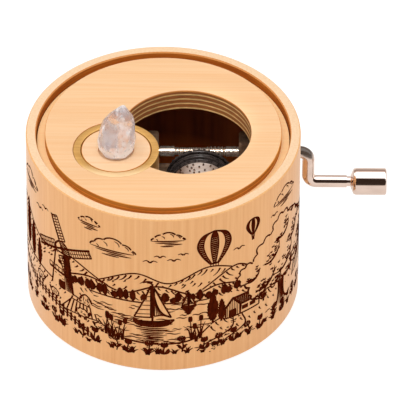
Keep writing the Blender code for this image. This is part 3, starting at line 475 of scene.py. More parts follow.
def cutter(name, radius, depth, place, sides, finish, axis="Z"):
    turn = {"Z": Matrix(), "X": Matrix.Rotation(math.pi / 2, 4, "Y")}
    build = bmesh.new()
    bmesh.ops.create_cone(
        build, cap_ends=True, segments=sides, radius1=radius, radius2=radius, depth=depth,
        matrix=Matrix.Translation(place) @ turn[axis])
    mesh = bpy.data.meshes.new(name)
    build.to_mesh(mesh)
    build.free()
    mesh.materials.append(finish)
    tool = bpy.data.objects.new(name, mesh)
    bpy.context.scene.collection.objects.link(tool)
    return tool


def bored(name, mesh, tools):
    """The mesh with each tool cut out of it. A hole's wall takes its tool's finish."""
    body = bpy.data.objects.new(name + "Body", mesh)
    bpy.context.scene.collection.objects.link(body)
    for tool in tools:
        cut = body.modifiers.new(tool.name, "BOOLEAN")
        cut.operation = "DIFFERENCE"
        cut.solver = "EXACT"
        cut.object = tool
        cut.material_mode = "TRANSFER"
    result = bpy.data.meshes.new_from_object(body.evaluated_get(bpy.context.evaluated_depsgraph_get()))
    result.name = name
    for item in [body, *tools]:
        bpy.data.objects.remove(item, do_unlink=True)
    return result


# Case
caseLook = {
    "radius": 34.96 * mm, "bore": 30.5 * mm, "rebate": 32.35 * mm, "height": 50.5 * mm, "ledge": 44.2 * mm,
    "footLedge": 5.3 * mm, "rimBevel": 0.32 * mm, "innerBevel": 0.4 * mm, "footBevel": 0.7 * mm,
    "holeRadius": 2.2 * mm, "holePlace": (33 * mm, 16 * mm, 30.9 * mm), "holeDepth": 12 * mm, "sides": 288,
}


def makeCaseTube():
    look = caseLook
    wall, rim, bevel, innerBevel, burnt, inside = range(6)
    profile = eased([
        (look["bore"], look["ledge"], inside, 0),
        (look["rebate"], look["ledge"], burnt, 0),
        (look["rebate"], look["height"] - look["innerBevel"], innerBevel, 0),
        (look["rebate"] + 0.6 * look["innerBevel"], look["height"], rim, 0),
        (look["radius"] - look["rimBevel"], look["height"], bevel, 0.12 * mm),
        (look["radius"], look["height"] - look["rimBevel"], wall, 0.12 * mm),
        (look["radius"], look["footBevel"], bevel, 0.2 * mm),
        (look["radius"] - look["footBevel"], 0, rim, 0),
        (look["rebate"], 0, burnt, 0),
        (look["rebate"], look["footLedge"], inside, 0),
        (look["bore"], look["footLedge"], inside, 0)])
    finishes = (wallWood, rimWood, edgeWood, innerEdgeWood, burntBore, insideWood)
    mesh = lathe("bambooTube", profile, look["sides"], finishes, closed=True)
    hole = cutter("crankHole", look["holeRadius"], look["holeDepth"], look["holePlace"], 48, burntBore, "X")
    return newPiece("bambooTube", smooth(bored("bambooTube", mesh, [hole])), "case", "bamboo", "case_tube")


panelLook = {
    "raised": 30.1 * mm, "lid": 32.05 * mm, "top": 50.5 * mm, "groove": 48.1 * mm, "bottom": 44.5 * mm,
    "edge": 0.12 * mm, "windowX": 5.75 * mm, "windowRadius": 16.7 * mm, "ringHole": 11.0 * mm, "sides": 256,
}
ringLook = {
    "x": -11.898 * mm, "y": -7.206 * mm, "outer": 10.9 * mm, "inner": 9.0 * mm, "top": 50.5 * mm, "bottom": 43.3 * mm,
    "lip": 1.0 * mm, "lipTop": 44.0 * mm, "edge": 0.15 * mm, "sides": 192,
}


def makeTopPanel():
    look = panelLook
    top, burnt, floor, under = range(4)    # no finish is listed twice, because the cutting merges its copies
    profile = [
        (0, look["top"], top),
        (look["raised"] - look["edge"], look["top"], burnt),
        (look["raised"], look["top"] - look["edge"], burnt),
        (look["raised"], look["groove"], floor),
        (look["lid"], look["groove"], burnt),
        (look["lid"], look["bottom"], under),
        (0, look["bottom"], under)]
    mesh = lathe("topPanel", profile, look["sides"], (topWood, burntEdge, grooveWood, insideWood))
    window = cutter(
        "windowHole", look["windowRadius"], 20 * mm, (look["windowX"], 0, look["top"]), 192, plyEdge)
    ringHole = cutter(
        "ringHole", look["ringHole"], 20 * mm, (ringLook["x"], ringLook["y"], look["top"]), 160, plyEdge)
    mesh = bored("topPanel", mesh, [window, ringHole])
    return newPiece("topPanel", smooth(mesh), "case", "plywood", "top_panel")


def makeBrassRing():
    look = ringLook
    profile = eased([
        (look["inner"], look["top"], 0, look["edge"]),
        (look["outer"], look["top"], 0, look["edge"]),
        (look["outer"], look["bottom"], 0, 0),
        (look["inner"] - look["lip"], look["bottom"], 0, 0),
        (look["inner"] - look["lip"], look["lipTop"], 0, 0),
        (look["inner"], look["lipTop"], 0, 0)])
    mesh = lathe("brassRing", profile, look["sides"], [brass], closed=True, place=(look["x"], look["y"], 0))
    return newPiece("brassRing", smooth(mesh), "case", "brass", "brass_ring")


discLook = {"radius": 8.85 * mm, "top": 50.4 * mm, "bottom": 44.3 * mm, "pocket": 4.55 * mm, "floor": 49.5 * mm, "singe": 0.2 * mm}


def makeCrystalDisc():
    look = discLook
    profile = [
        (0, look["floor"], 0),
        (look["pocket"], look["floor"], 1),
        (look["pocket"], look["top"], 0),
        (look["radius"] - look["singe"], look["top"], 1),
        (look["radius"] - 0.05 * mm, look["top"] - 0.05 * mm, 1),
        (look["radius"], look["bottom"], 2),
        (0, look["bottom"], 2)]
    place = (ringLook["x"], ringLook["y"], 0)
    mesh = lathe("crystalDisc", profile, ringLook["sides"], (discWood, burntEdge, insideWood), place=place)
    return newPiece("crystalDisc", smooth(mesh), "case", "plywood", "crystal_disc")


crystalLook = {
    "subdivisions": 6, "rounding": 1, "chips": 0.05 * mm, "chipScale": 700, "inset": 0.06 * mm,
    "cuts": 16, "cutDepth": (0.03, 0.1), "tipCut": 0.35 * mm, "seed": 8,
    "widths": ((0, 0.2, 0.45, 0.68, 1), (1.05, 1, 0.95, 1.035, 1)),    # the stone is slimmer at its belly from the front
}


def makeCrystal():
    """The stone has the CAD stone's flat faces, softened at their edges and finely chipped."""
    look = crystalLook
    rough = cadNodes["crystal"].data
    corners = np.array([v.co for v in rough.vertices])
    middle = (corners.min(0) + corners.max(0)) / 2
    normals, offsets = [], []
    for face in rough.polygons:
        spot = corners[face.vertices[0]]
        side = np.cross(corners[face.vertices[1]] - spot, corners[face.vertices[2]] - spot)
        if np.linalg.norm(side) > 1e-12:
            side = side / np.linalg.norm(side)
            reach = side @ (spot - middle)
            normals.append(side if reach > 0 else -side)
            offsets.append(abs(reach) - look["inset"])
    chance = np.random.default_rng(look["seed"])
    for _ in range(look["cuts"]):    # larger uneven facets
        side = chance.normal(size=3) * (1, 1, 0.7)
        side /= np.linalg.norm(side)
        normals.append(side)
        offsets.append((corners @ side).max() * 1 - middle @ side)
        offsets[-1] *= 1 - chance.uniform(*look["cutDepth"])
    tip = np.array((0.25, -0.2, 0.95)) / np.linalg.norm((0.25, -0.2, 0.95))
    normals.append(tip)
    offsets.append((corners @ tip).max() - middle @ tip - look["tipCut"])
    normals, offsets = np.array(normals), np.array(offsets)
    build = bmesh.new()
    bmesh.ops.create_icosphere(build, subdivisions=look["subdivisions"], radius=1)
    for vertex in build.verts:
        ray = np.array(vertex.co) / vertex.co.length
        ray = ray * np.array((0.55, 0.55, 1.0))
        ray = ray / np.linalg.norm(ray)
        along = normals @ ray
        reach = np.min(offsets[along > 1e-6] / along[along > 1e-6])
        vertex.co = Vector(middle + ray * reach)
    for _ in range(look["rounding"]):
        bmesh.ops.smooth_vert(build, verts=build.verts, factor=0.5, use_axis_x=True, use_axis_y=True, use_axis_z=True)
    build.normal_update()
    from mathutils import noise as pattern
    for vertex in build.verts:
        spot = vertex.co * look["chipScale"]
        chip = pattern.noise(spot) + 0.5 * pattern.noise(spot * 2.3)
        vertex.co -= vertex.normal * look["chips"] * (0.5 + 0.5 * chip)
    low, high = corners[:, 2].min(), corners[:, 2].max()
    for vertex in build.verts:
        wide = np.interp((vertex.co.z - low) / (high - low), *look["widths"])
        vertex.co.x = middle[0] + (vertex.co.x - middle[0]) * wide
    mesh = bpy.data.meshes.new("quartzDrop")
    build.to_mesh(mesh)
    build.free()
    mesh.materials.append(quartz)
    return newPiece("quartzDrop", smooth(mesh, 14), "case", "quartz", "crystal")


makeCaseTube()
makeTopPanel()
makeBrassRing()
makeCrystalDisc()
makeCrystal()
print("case, panel, ring and crystal made")

# Drawing on the wall. Its lines are laid out flat in millimetres: u runs along the wall from the front to the
# right, v runs up it. What lies nearest is drawn first, and hides what is drawn later.
pen = np.random.default_rng(11)
strokes, masks = [], []


def inside(points, polygon):
    u, v = points[:, 0], points[:, 1]
    a, b = polygon, np.roll(polygon, -1, axis=0)
    crosses = (a[:, 1, None] > v) != (b[:, 1, None] > v)
    rise = np.where(abs(b[:, 1] - a[:, 1]) < 1e-9, 1e-9, b[:, 1] - a[:, 1])
    slope = (b[:, 0] - a[:, 0]) / rise
    left = u < slope[:, None] * (v - a[:, 1, None]) + a[:, 0, None]
    return (crosses & left).sum(0) % 2 == 1


def draw(points, width=0.28, taper=0.5, within=None, hide=()):
    """One ink line in short even steps. The width may be a function of the share of its length."""
    points = np.array(points, float)
    lengths = np.r_[0, np.cumsum(np.hypot(*np.diff(points, axis=0).T))]
    if lengths[-1] < 0.15:
        return
    along = np.linspace(0, lengths[-1], max(3, int(lengths[-1] / 0.35) + 1))
    line = np.column_stack([np.interp(along, lengths, points[:, k]) for k in (0, 1)])
    share = along / lengths[-1]
    widths = width(share) if callable(width) else width * (1 - taper * abs(2 * share - 1) ** 3)
    keep = np.ones(len(line), bool) if within is None else inside(line, np.array(within, float))
    for mask in [*masks, *hide]:
        if mask[:, 0].min() < line[:, 0].max() and mask[:, 0].max() > line[:, 0].min():
            keep &= ~inside(line, mask)
    start = None
    for index in range(len(line) + 1):
        on = index < len(line) and keep[index]
        if on and start is None:
            start = index
        if not on and start is not None:
            if index - start > 1:
                strokes.append((line[start:index], widths[start:index]))
            start = None


def curve(points, closed=False, pieces=8):
    p = np.array(points, float)
    p = np.vstack([p[-1:], p, p[:2]]) if closed else np.vstack([2 * p[0] - p[1], p, 2 * p[-1] - p[-2]])
    t = np.linspace(0, 1, pieces, endpoint=False)[:, None]
    rows = [0.5 * (2 * b + (c - a) * t + (2 * a - 5 * b + 4 * c - d) * t ** 2 + (3 * b - a - 3 * c + d) * t ** 3)
            for a, b, c, d in zip(p, p[1:], p[2:], p[3:])]
    return np.vstack(rows + [p[-2:-1]])


def placed(points, u, v, size=1, turn=0):
    c, s = size * math.cos(math.radians(turn)), size * math.sin(math.radians(turn))
    return np.array([(u + a * c - b * s, v + a * s + b * c) for a, b in points])


def arc(u, v, ru, rv, start=0, end=360, count=18):
    angles = np.radians(np.linspace(start, end, count))
    return np.column_stack([u + ru * np.cos(angles), v + rv * np.sin(angles)])


def scallops(u, v, ru, rv, lobes, depth=0.12):
    angles = np.linspace(0, 2 * math.pi, lobes * 6 + 1) + pen.uniform(0, 6)
    reach = 1 - depth + 2 * depth * abs(np.sin(lobes * angles / 2))
    return np.column_stack([u + ru * reach * np.cos(angles), v + rv * reach * np.sin(angles)])


def between(low, high):
    return pen.uniform(low, high)


def tuft(u, v, size):
    for lean in np.linspace(-0.7, 0.7, 6):
        height = size * between(0.6, 1.1) * (1 - 0.35 * abs(lean))
        tip = (u + lean * size * 0.9, v + height)
        draw(curve([(u + 0.25 * lean, v), (u + 0.35 * lean * size, v + 0.6 * height), tip]),
             lambda share: 0.36 * (1 - share) ** 0.7 + 0.06)


def daisy(u, v, height):
    top = (u + between(-0.5, 0.5), v + height)
    draw(curve([(u, v), (u + 0.3, v + 0.5 * height), top]), 0.26, 0.2)
    for side in (-1, 1):
        draw(curve([(u, v + 0.2 * height), (u + side * 0.9, v + 0.5 * height), (u + side * 1.5, v + 0.52 * height)]),
             lambda share: 0.5 * np.sin(np.pi * share) + 0.08)
    for petal in range(9):
        end = arc(*top, 1.15, 0.95, 40 * petal, 40 * petal, 1)[0]
        draw([np.array(top) + (end - top) * 0.35, end], lambda share: 0.16 + 0.3 * share)
    draw([(top[0] - 0.25, top[1]), (top[0] + 0.25, top[1])], 0.5, 0)


def tulip(u, v, height):
    draw(curve([(u, v), (u - 0.2, v + 0.5 * height), (u, v + height)]), 0.26, 0)
    for side in (-1, 1):
        draw(curve([(u, v + 0.1), (u + side * 0.8, v + 0.35 * height), (u + side * 1.1, v + 0.8 * height)]),
             lambda share: 0.7 * np.sin(np.pi * share) ** 0.8 + 0.06)
        draw(curve([(u, v + height), (u + side * 0.7, v + height + 0.4), (u + side * 0.55, v + height + 1.6)]), 0.4, 0.3)
    draw([(u, v + height), (u, v + height + 1.5)], 0.62, 0.6)


def reed(u, v, height):
    lean = between(-0.8, 0.8)
    draw(curve([(u, v), (u + 0.3 * lean, v + 0.5 * height), (u + lean, v + height)]), 0.22, 0.4)
    draw([(u + 0.95 * lean, v + height - 0.2), (u + 1.1 * lean, v + height + 1.7)], 0.75, 0.35)
    for side in (-1, 1):
        reach = side * between(1.0, 2.2)
        draw(curve([(u, v), (u + 0.4 * reach, v + 0.55 * height), (u + reach, v + between(0.6, 0.9) * height)]),
             lambda share: 0.45 * (1 - share) + 0.06)


def poplar(u, v, height, width):
    bend = between(-0.25, 0.25)

    def ragged(share):
        return width * np.sin(np.pi * np.clip(share * 0.93 + 0.05, 0, 1) ** 0.75) ** 0.75 * pen.uniform(0.72, 1.05, len(share))

    draw([(u, v), (u, v + 0.2 * height)], 0.4, 0)
    draw(curve([(u, v + 0.1 * height), (u + bend, v + 0.55 * height), (u, v + height)]), ragged)
    for rise in np.linspace(0.16, 0.86, 9):
        for side in (-1, 1):
            reach = 0.5 * width * math.sin(math.pi * rise ** 0.75) ** 0.75
            base = (u + side * 0.7 * reach, v + rise * height)
            draw([base, (base[0] + side * 0.42 * reach + side * 0.1, base[1] + 0.075 * height)],
                 lambda share: 0.34 * (1 - share) + 0.05)
    masks.append(arc(u, v + 0.55 * height, 0.44 * width, 0.42 * height))


def leafyTree(u, v, size):
    lumps = ((0, 10, 4.4), (-4.6, 8.6, 3.3), (4.7, 8.8, 3.4), (-3.2, 12.6, 3.1), (3.0, 13.0, 3.2), (0, 15.2, 2.7),
             (-7.2, 10.4, 2.2), (7.3, 10.6, 2.2), (-1.8, 6.9, 2.2), (2.0, 6.7, 2.2), (-5.4, 6.4, 1.8), (5.8, 6.5, 1.9))
    edges = [scallops(u + a * size, v + b * size, r * size, 0.92 * r * size, 9) for a, b, r in lumps]
    for k, edge in enumerate(edges):
        draw(edge, 0.34, 0, hide=edges[:k] + edges[k + 1:])
    for a, b, r in lumps:
        middle = (u + a * size, v + b * size)
        for _ in range(int(4.5 * r * size)):
            angle, reach = between(-130, 40), r * size * math.sqrt(between(0.05, 0.75))
            spot = arc(*middle, reach, 0.9 * reach, angle, angle, 1)[0]
            draw(arc(*spot, 0.55, 0.45, -160, between(-50, 0), 6), 0.34, 0.4)
        draw(arc(*middle, 0.84 * r * size, 0.78 * r * size, -125, 5, 16), lambda share: 0.5 * np.sin(np.pi * share) + 0.05)
    masks.extend(edges)
    for side in (-1, 1):
        draw(curve([(u + side * 2.3 * size, v - 0.3), (u + side * 0.95 * size, v + 1.4 * size),
                    (u + side * 0.75 * size, v + 4.5 * size), (u + side * 1.5 * size, v + 7 * size)]), 0.4, 0.1)
    for shift in np.linspace(-0.6, 0.75, 7):
        top = between(4.5, 7)
        draw(curve([(u + 1.9 * shift * size, v + 0.2), (u + shift * size, v + 2.4 * size), (u + 0.9 * shift * size, v + top * size)]),
             0.34 if shift > 0 else 0.2, 0.6)
    masks.append(np.array([(u - 1.7 * size, v), (u - 0.8 * size, v + 7 * size), (u + 0.8 * size, v + 7 * size), (u + 1.7 * size, v)]))


def windmill(u, v, size):
    hub = (u, v + 10.4 * size)
    for quarter in range(4):
        turn = 24 + 90 * quarter
        draw(placed([(0, -0.5), (0, 7.9)], *hub, size, turn), 0.42, 0)
        draw(placed([(0.1, 1.7), (1.8, 1.7), (1.8, 7.6), (0.1, 7.6)], *hub, size, turn), 0.26, 0)
        draw(placed([(0.95, 1.7), (0.95, 7.6)], *hub, size, turn), 0.16, 0)
        for rung in np.arange(2.3, 7.6, 0.62):
            draw(placed([(0.1, rung), (1.8, rung)], *hub, size, turn), 0.18, 0)
    draw(arc(*hub, 0.35, 0.35), 0.6, 0)
    dome = placed(arc(0, 9.2, 2.15, 2.9, 0, 180), u, v, size)
    draw(dome, 0.36, 0)
    for rise in np.arange(9.5, 11.9, 0.42):
        half = 2.1 * math.sqrt(max(0, 1 - ((rise - 9.2) / 2.9) ** 2))
        draw(placed([(-0.2, rise), (half, rise)], u, v, size), 0.26, 0.4)
    tower = placed([(-3.1, 0), (-1.9, 9.2), (1.9, 9.2), (3.1, 0)], u, v, size)
    draw(tower[:2], 0.36, 0)
    draw(tower[2:], 0.4, 0)
    draw(tower[1:3], 0.36, 0)
    for shade in (0.3, 0.45, 0.58, 0.7, 0.8, 0.9):
        draw(placed([(3.1 * shade, 0.2), (1.9 * shade, 9)], u, v, size), 0.26, 0.3)
    draw(placed([(-3.9, 3.9), (3.9, 3.9)], u, v, size), 0.45, 0)
    draw(placed([(-3.9, 5.0), (3.9, 5.0)], u, v, size), 0.18, 0)
    for post in np.linspace(-3.9, 3.9, 9):
        draw(placed([(post, 3.9), (post, 5.0)], u, v, size), 0.18, 0)
    draw(placed([(0, 0), (0, 2.1)], u, v, size), 1.3 * size, 0.35)
    for side, rise in ((-0.6, 6.2), (0.7, 7.8)):
        draw(placed([(side, rise), (side, rise + 0.9)], u, v, size), 0.75 * size, 0.3)
    for rise in np.arange(0.5, 9, 0.52):
        half = 3.1 - 1.2 * rise / 9.2
        for start in np.arange(-half + between(0, 0.8), half - 0.6, 1.25):
            if start > 0.3 or between(0, 1) < 0.35:
                draw(placed([(start, rise), (start + between(0.5, 0.95), rise)], u, v, size), 0.18, 0.3)
    masks.extend([tower, dome])


def cottage(u, v, size):
    gable = placed([(0, 0), (0, 3), (1.9, 5.3), (3.8, 3), (3.8, 0)], u, v, size)
    roof = placed([(1.9, 5.5), (8, 5.5), (10, 2.8), (4.1, 2.8)], u, v, size)
    wall = placed([(3.8, 0), (9.4, 0), (9.4, 2.8), (4.1, 2.8)], u, v, size)
    chimney = placed([(6, 4.9), (6, 7), (7.1, 7), (7.1, 4.9)], u, v, size)
    draw(chimney, 0.3, 0)
    draw(placed([(5.8, 7.1), (7.3, 7.1)], u, v, size), 0.4, 0)
    draw(placed([(6.75, 5.4), (6.75, 6.9)], u, v, size), 0.55, 0)
    for edge in (gable, roof, wall):
        draw(np.vstack([edge, edge[:1]]), 0.32, 0)
    draw(placed([(-0.5, 2.6), (1.9, 5.6), (2.3, 5.2)], u, v, size), 0.42, 0)
    for row in range(1, 8):
        share = row / 8
        left, right = (1.9 + 2.2 * share, 5.5 - 2.7 * share), (8 + 2 * share, 5.5 - 2.7 * share)
        draw(placed([left, right], u, v, size), 0.18, 0)
        for step in np.arange(left[0] + 0.3 * (row % 2), right[0], 0.6):
            draw(placed([(step, left[1]), (step + 0.25, left[1] - 0.33)], u, v, size), 0.2, 0)
    for plank in np.arange(0.45, 3.6, 0.45):
        draw(placed([(plank, 0.1), (plank, 3 + 2.3 * (1 - abs(plank - 1.9) / 1.9))], u, v, size), 0.14, 0)
    draw(placed([(1.9, 0), (1.9, 2.2)], u, v, size), 1.25 * size, 0.15)
    for spot in (5.2, 7.4):
        draw(placed([(spot, 0.9), (spot, 2.1)], u, v, size), 1.1 * size, 0)
    smoke = [(6.5, 7.5), (6.1, 8.3), (7, 9), (6.6, 9.9), (7.7, 10.7), (7.5, 11.8)]
    draw(curve(placed(smoke, u, v, size)), 0.36, 0.8)
    masks.extend([gable, roof, wall, chimney])


def boat(u, v, size):
    hull = placed(curve([(-4.4, 1.2), (-3.4, 0.1), (0, -0.3), (3.3, 0.2), (4.9, 1.7)]), u, v, size)
    draw(hull, 0.4, 0)
    for rise in np.linspace(0.25, 1.0, 4):
        draw(placed([(-4.3 + 1.5 * (1 - rise), rise), (4.4 - (1 - rise), rise + 0.15)], u, v, size), 0.42 * size, 0.5)
    draw(placed([(-4.5, 1.25), (0, 1.0), (4.95, 1.75)], u, v, size), 0.3, 0)
    draw(placed([(0, 1), (0, 12.4)], u, v, size), 0.36, 0)
    draw(placed(curve([(0, 12.6), (-1.2, 12.9), (-2.2, 12.5)]), u, v, size), lambda share: 0.75 - 0.6 * share)
    main = placed(curve([(-0.35, 11.9), (-1.9, 7.5), (-4.2, 2.2)]).tolist() + [(-0.35, 2.4)], u, v, size)
    jib = placed(curve([(0.4, 11.2), (2.4, 6.6), (4.3, 2.4)]).tolist() + curve([(4.3, 2.4), (2.3, 3.1), (0.4, 2.8)]).tolist(), u, v, size)
    for sail in (main, jib):
        draw(np.vstack([sail, sail[:1]]), 0.3, 0)
    for rise in np.arange(3.4, 10.8, 1.3):
        draw(placed([(-3.9, rise - 0.25), (-0.4, rise)], u, v, size), 0.16, 0, within=main)
    for lean in np.arange(0.5, 3.4, 0.4):
        draw(placed([(lean * 0.35 + 0.3, 10.2 - 2 * lean), (lean + 0.5, 2.9)], u, v, size), 0.18, 0.4, within=jib)
    for row in range(9):
        reach = (4.6 - 0.42 * row) * between(0.75, 1)
        shift = between(-0.5, 0.5)
        draw(placed([(shift - reach, -0.75 - 0.55 * row), (shift, -0.9 - 0.55 * row), (shift + reach, -0.75 - 0.55 * row)], u, v, size),
             0.36 if row % 2 else 0.24, 0.8)
    masks.extend([main, jib, np.vstack([hull, hull[:1]])])


def balloon(u, v, r):
    half = curve([(0, 1.0), (0.72, 0.72), (1.0, 0.05), (0.76, -0.66), (0.26, -1.38)], pieces=10) * r
    gores = (-1, -0.66, -0.24, 0.24, 0.66, 1)
    for share in gores:
        draw(half * (share, 1) + (u, v), 0.32 if abs(share) == 1 else 0.2, 0)
    for low, high in zip(gores[::2], gores[1::2]):
        for a, b in half[3::2]:
            draw([(u + low * a, v + b), (u + high * a, v + b)], 0.36, 0)
    draw([(u - 0.27 * r, v - 1.38 * r), (u + 0.27 * r, v - 1.38 * r)], 0.4, 0)
    for side in (-1, -0.35, 0.35, 1):
        draw([(u + 0.25 * side * r, v - 1.4 * r), (u + 0.17 * side * r, v - 1.95 * r)], 0.14, 0)
    draw([(u - 0.2 * r, v - 2.1 * r), (u + 0.2 * r, v - 2.1 * r)], 0.34 * r, 0)
    masks.append(np.vstack([half, half[::-1] * (-1, 1)]) + (u, v))


def cloud(u, v, size):
    lumps = ((-4, 0, 1.3), (-2.3, 0.9, 1.9), (0.2, 1.5, 2.4), (2.7, 0.8, 1.8), (4.3, 0, 1.2))
    edges = [arc(u + a * size, v + b * size, r * size, 0.8 * r * size) for a, b, r in lumps]
    floor = np.array([(u - 9 * size, v - 0.2), (u + 9 * size, v - 0.2), (u + 9 * size, v - 4 * size), (u - 9 * size, v - 4 * size)])
    for k, edge in enumerate(edges):
        draw(edge, 0.3, 0, hide=edges[:k] + edges[k + 1:] + [floor])
        a, b, r = lumps[k]
        draw(arc(u + a * size, v + b * size, 0.66 * r * size, 0.52 * r * size, -10, 75, 8), 0.2, 0.7, hide=[floor])
    for row, (left, right) in enumerate(((-5.4, 5.2), (-4.0, 3.2), (-1.2, 4.6), (-2.4, 1.8))):
        draw([(u + left * size, v - 0.2 - 0.55 * row), (u + right * size, v - 0.2 - 0.55 * row)], 0.28, 0.8)
    masks.extend([edge[edge[:, 1] > v - 0.3] for edge in edges])


def bird(u, v, size):
    for side in (-1, 1):
        draw(curve([(u, v), (u + side * 0.8 * size, v + 0.65 * size), (u + side * 1.7 * size, v + 0.25 * size)]),
             lambda share: 0.34 - 0.22 * share)


def hill(points, hatch=1.0, lean=0.6, width=0.34):
    line = curve(points)
    draw(line, width, 0.2)
    ends = np.r_[0, np.cumsum(np.hypot(*np.diff(line, axis=0).T))]
    for along in np.arange(between(0.2, 1), ends[-1], 1.9 / hatch):
        u, v = (np.interp(along + between(-0.3, 0.3), ends, line[:, k]) for k in (0, 1))
        for drop in (between(0.3, 0.8), between(2.2, 4.6)):
            length = between(0.9, 2.6) if drop < 1 else between(0.5, 1.6)
            start = u + lean * drop
            draw(curve([(start, v - drop), (start + 0.4 * lean * length, v - drop - 0.5 * length),
                        (start + lean * length, v - drop - 0.85 * length)]), lambda share: 0.3 * (1 - share) ** 0.6 + 0.04)
    masks.append(np.vstack([line, [(line[-1][0], 0), (line[0][0], 0)]]))


def furrows(polygon, vanish, count):
    polygon = np.array(polygon, float)
    low, high = polygon[:, 0].min(), polygon[:, 0].max()
    for start in np.linspace(low - 6, high + 6, count):
        draw([(start, polygon[:, 1].min() - 1), vanish], 0.3, 0.2, within=polygon)
    draw(np.vstack([polygon, polygon[:1]]), 0.24, 0)
    masks.append(polygon)


def sheep(u, v, size, side):
    fleece = scallops(u, v + 1.3 * size, 1.5 * size, 1.0 * size, 8)
    head = (u + side * 1.7 * size, v + 1.7 * size)
    draw([(head[0] - 0.3 * side, head[1] + 0.15), (head[0] + 0.35 * side * size, head[1] - 0.25 * size)], 0.75 * size, 0.2)
    draw(fleece, 0.28, 0)
    for leg in (-0.9, -0.5, 0.5, 0.9):
        draw([(u + leg * size, v + 0.5 * size), (u + leg * size, v - 0.35 * size)], 0.3, 0)
    for _ in range(5):
        draw(arc(u + between(-0.8, 0.8) * size, v + between(0.9, 1.8) * size, 0.3, 0.25, 180, 330, 5), 0.18, 0.3)
    masks.append(fleece)


def fence(points, spacing=2.2):
    line = curve(points)
    for lift in (0.9, 1.8):
        draw(line + (0, lift), 0.26, 0)
    for index in range(0, len(line), max(1, int(spacing * len(line) / abs(line[-1][0] - line[0][0])))):
        u, v = line[index]
        draw([(u, v - 0.2), (u + 0.05, v + 2.7)], 0.46, 0.1)


def haystack(u, v, size):
    dome = placed(curve([(-1.9, 0), (-1.75, 1.6), (-0.9, 2.7), (0, 3.2), (0.9, 2.7), (1.75, 1.6), (1.9, 0)]), u, v, size)
    draw(dome, 0.32, 0)
    for _ in range(26):
        a, b = between(-1.5, 1.7), between(0.1, 2.6)
        draw(placed([(a, b), (a + 0.12 * a, b - between(0.3, 0.8))], u, v, size), 0.2, 0.5, within=dome)
    masks.append(dome)


def lighthouse(u, v, size):
    tower = placed([(-1.7, 0), (-1.05, 13), (1.05, 13), (1.7, 0)], u, v, size)
    draw(tower, 0.34, 0)
    for low in (1.2, 5.4, 9.6):
        for rise in np.arange(low, low + 2.1, 0.3):
            half = 1.7 - 0.05 * rise
            draw(placed([(-half, rise), (half, rise)], u, v, size), 0.36, 0)
    draw(placed([(-1.7, 13.1), (1.7, 13.1)], u, v, size), 0.45, 0)
    lamp = placed([(-0.8, 13.2), (-0.8, 15.2), (0.8, 15.2), (0.8, 13.2)], u, v, size)
    draw(lamp, 0.3, 0)
    draw(placed([(-1.1, 15.2), (0, 16.8), (1.1, 15.2), (-1.1, 15.2)], u, v, size), 0.5, 0)
    for bar in (-0.3, 0.3):
        draw(placed([(bar, 13.2), (bar, 15.2)], u, v, size), 0.2, 0)
    masks.extend([tower, lamp])


def waves(polygon, count, skip=()):
    polygon = np.array(polygon, float)
    low, high = polygon.min(0), polygon.max(0)
    for _ in range(count):
        u, v = between(low[0], high[0]), between(low[1], high[1])
        reach = between(0.8, 2.6)
        draw(curve([(u - reach, v), (u - 0.4 * reach, v + 0.22), (u + 0.3 * reach, v - 0.1), (u + reach, v + 0.12)]),
             0.22, 0.8, within=polygon)


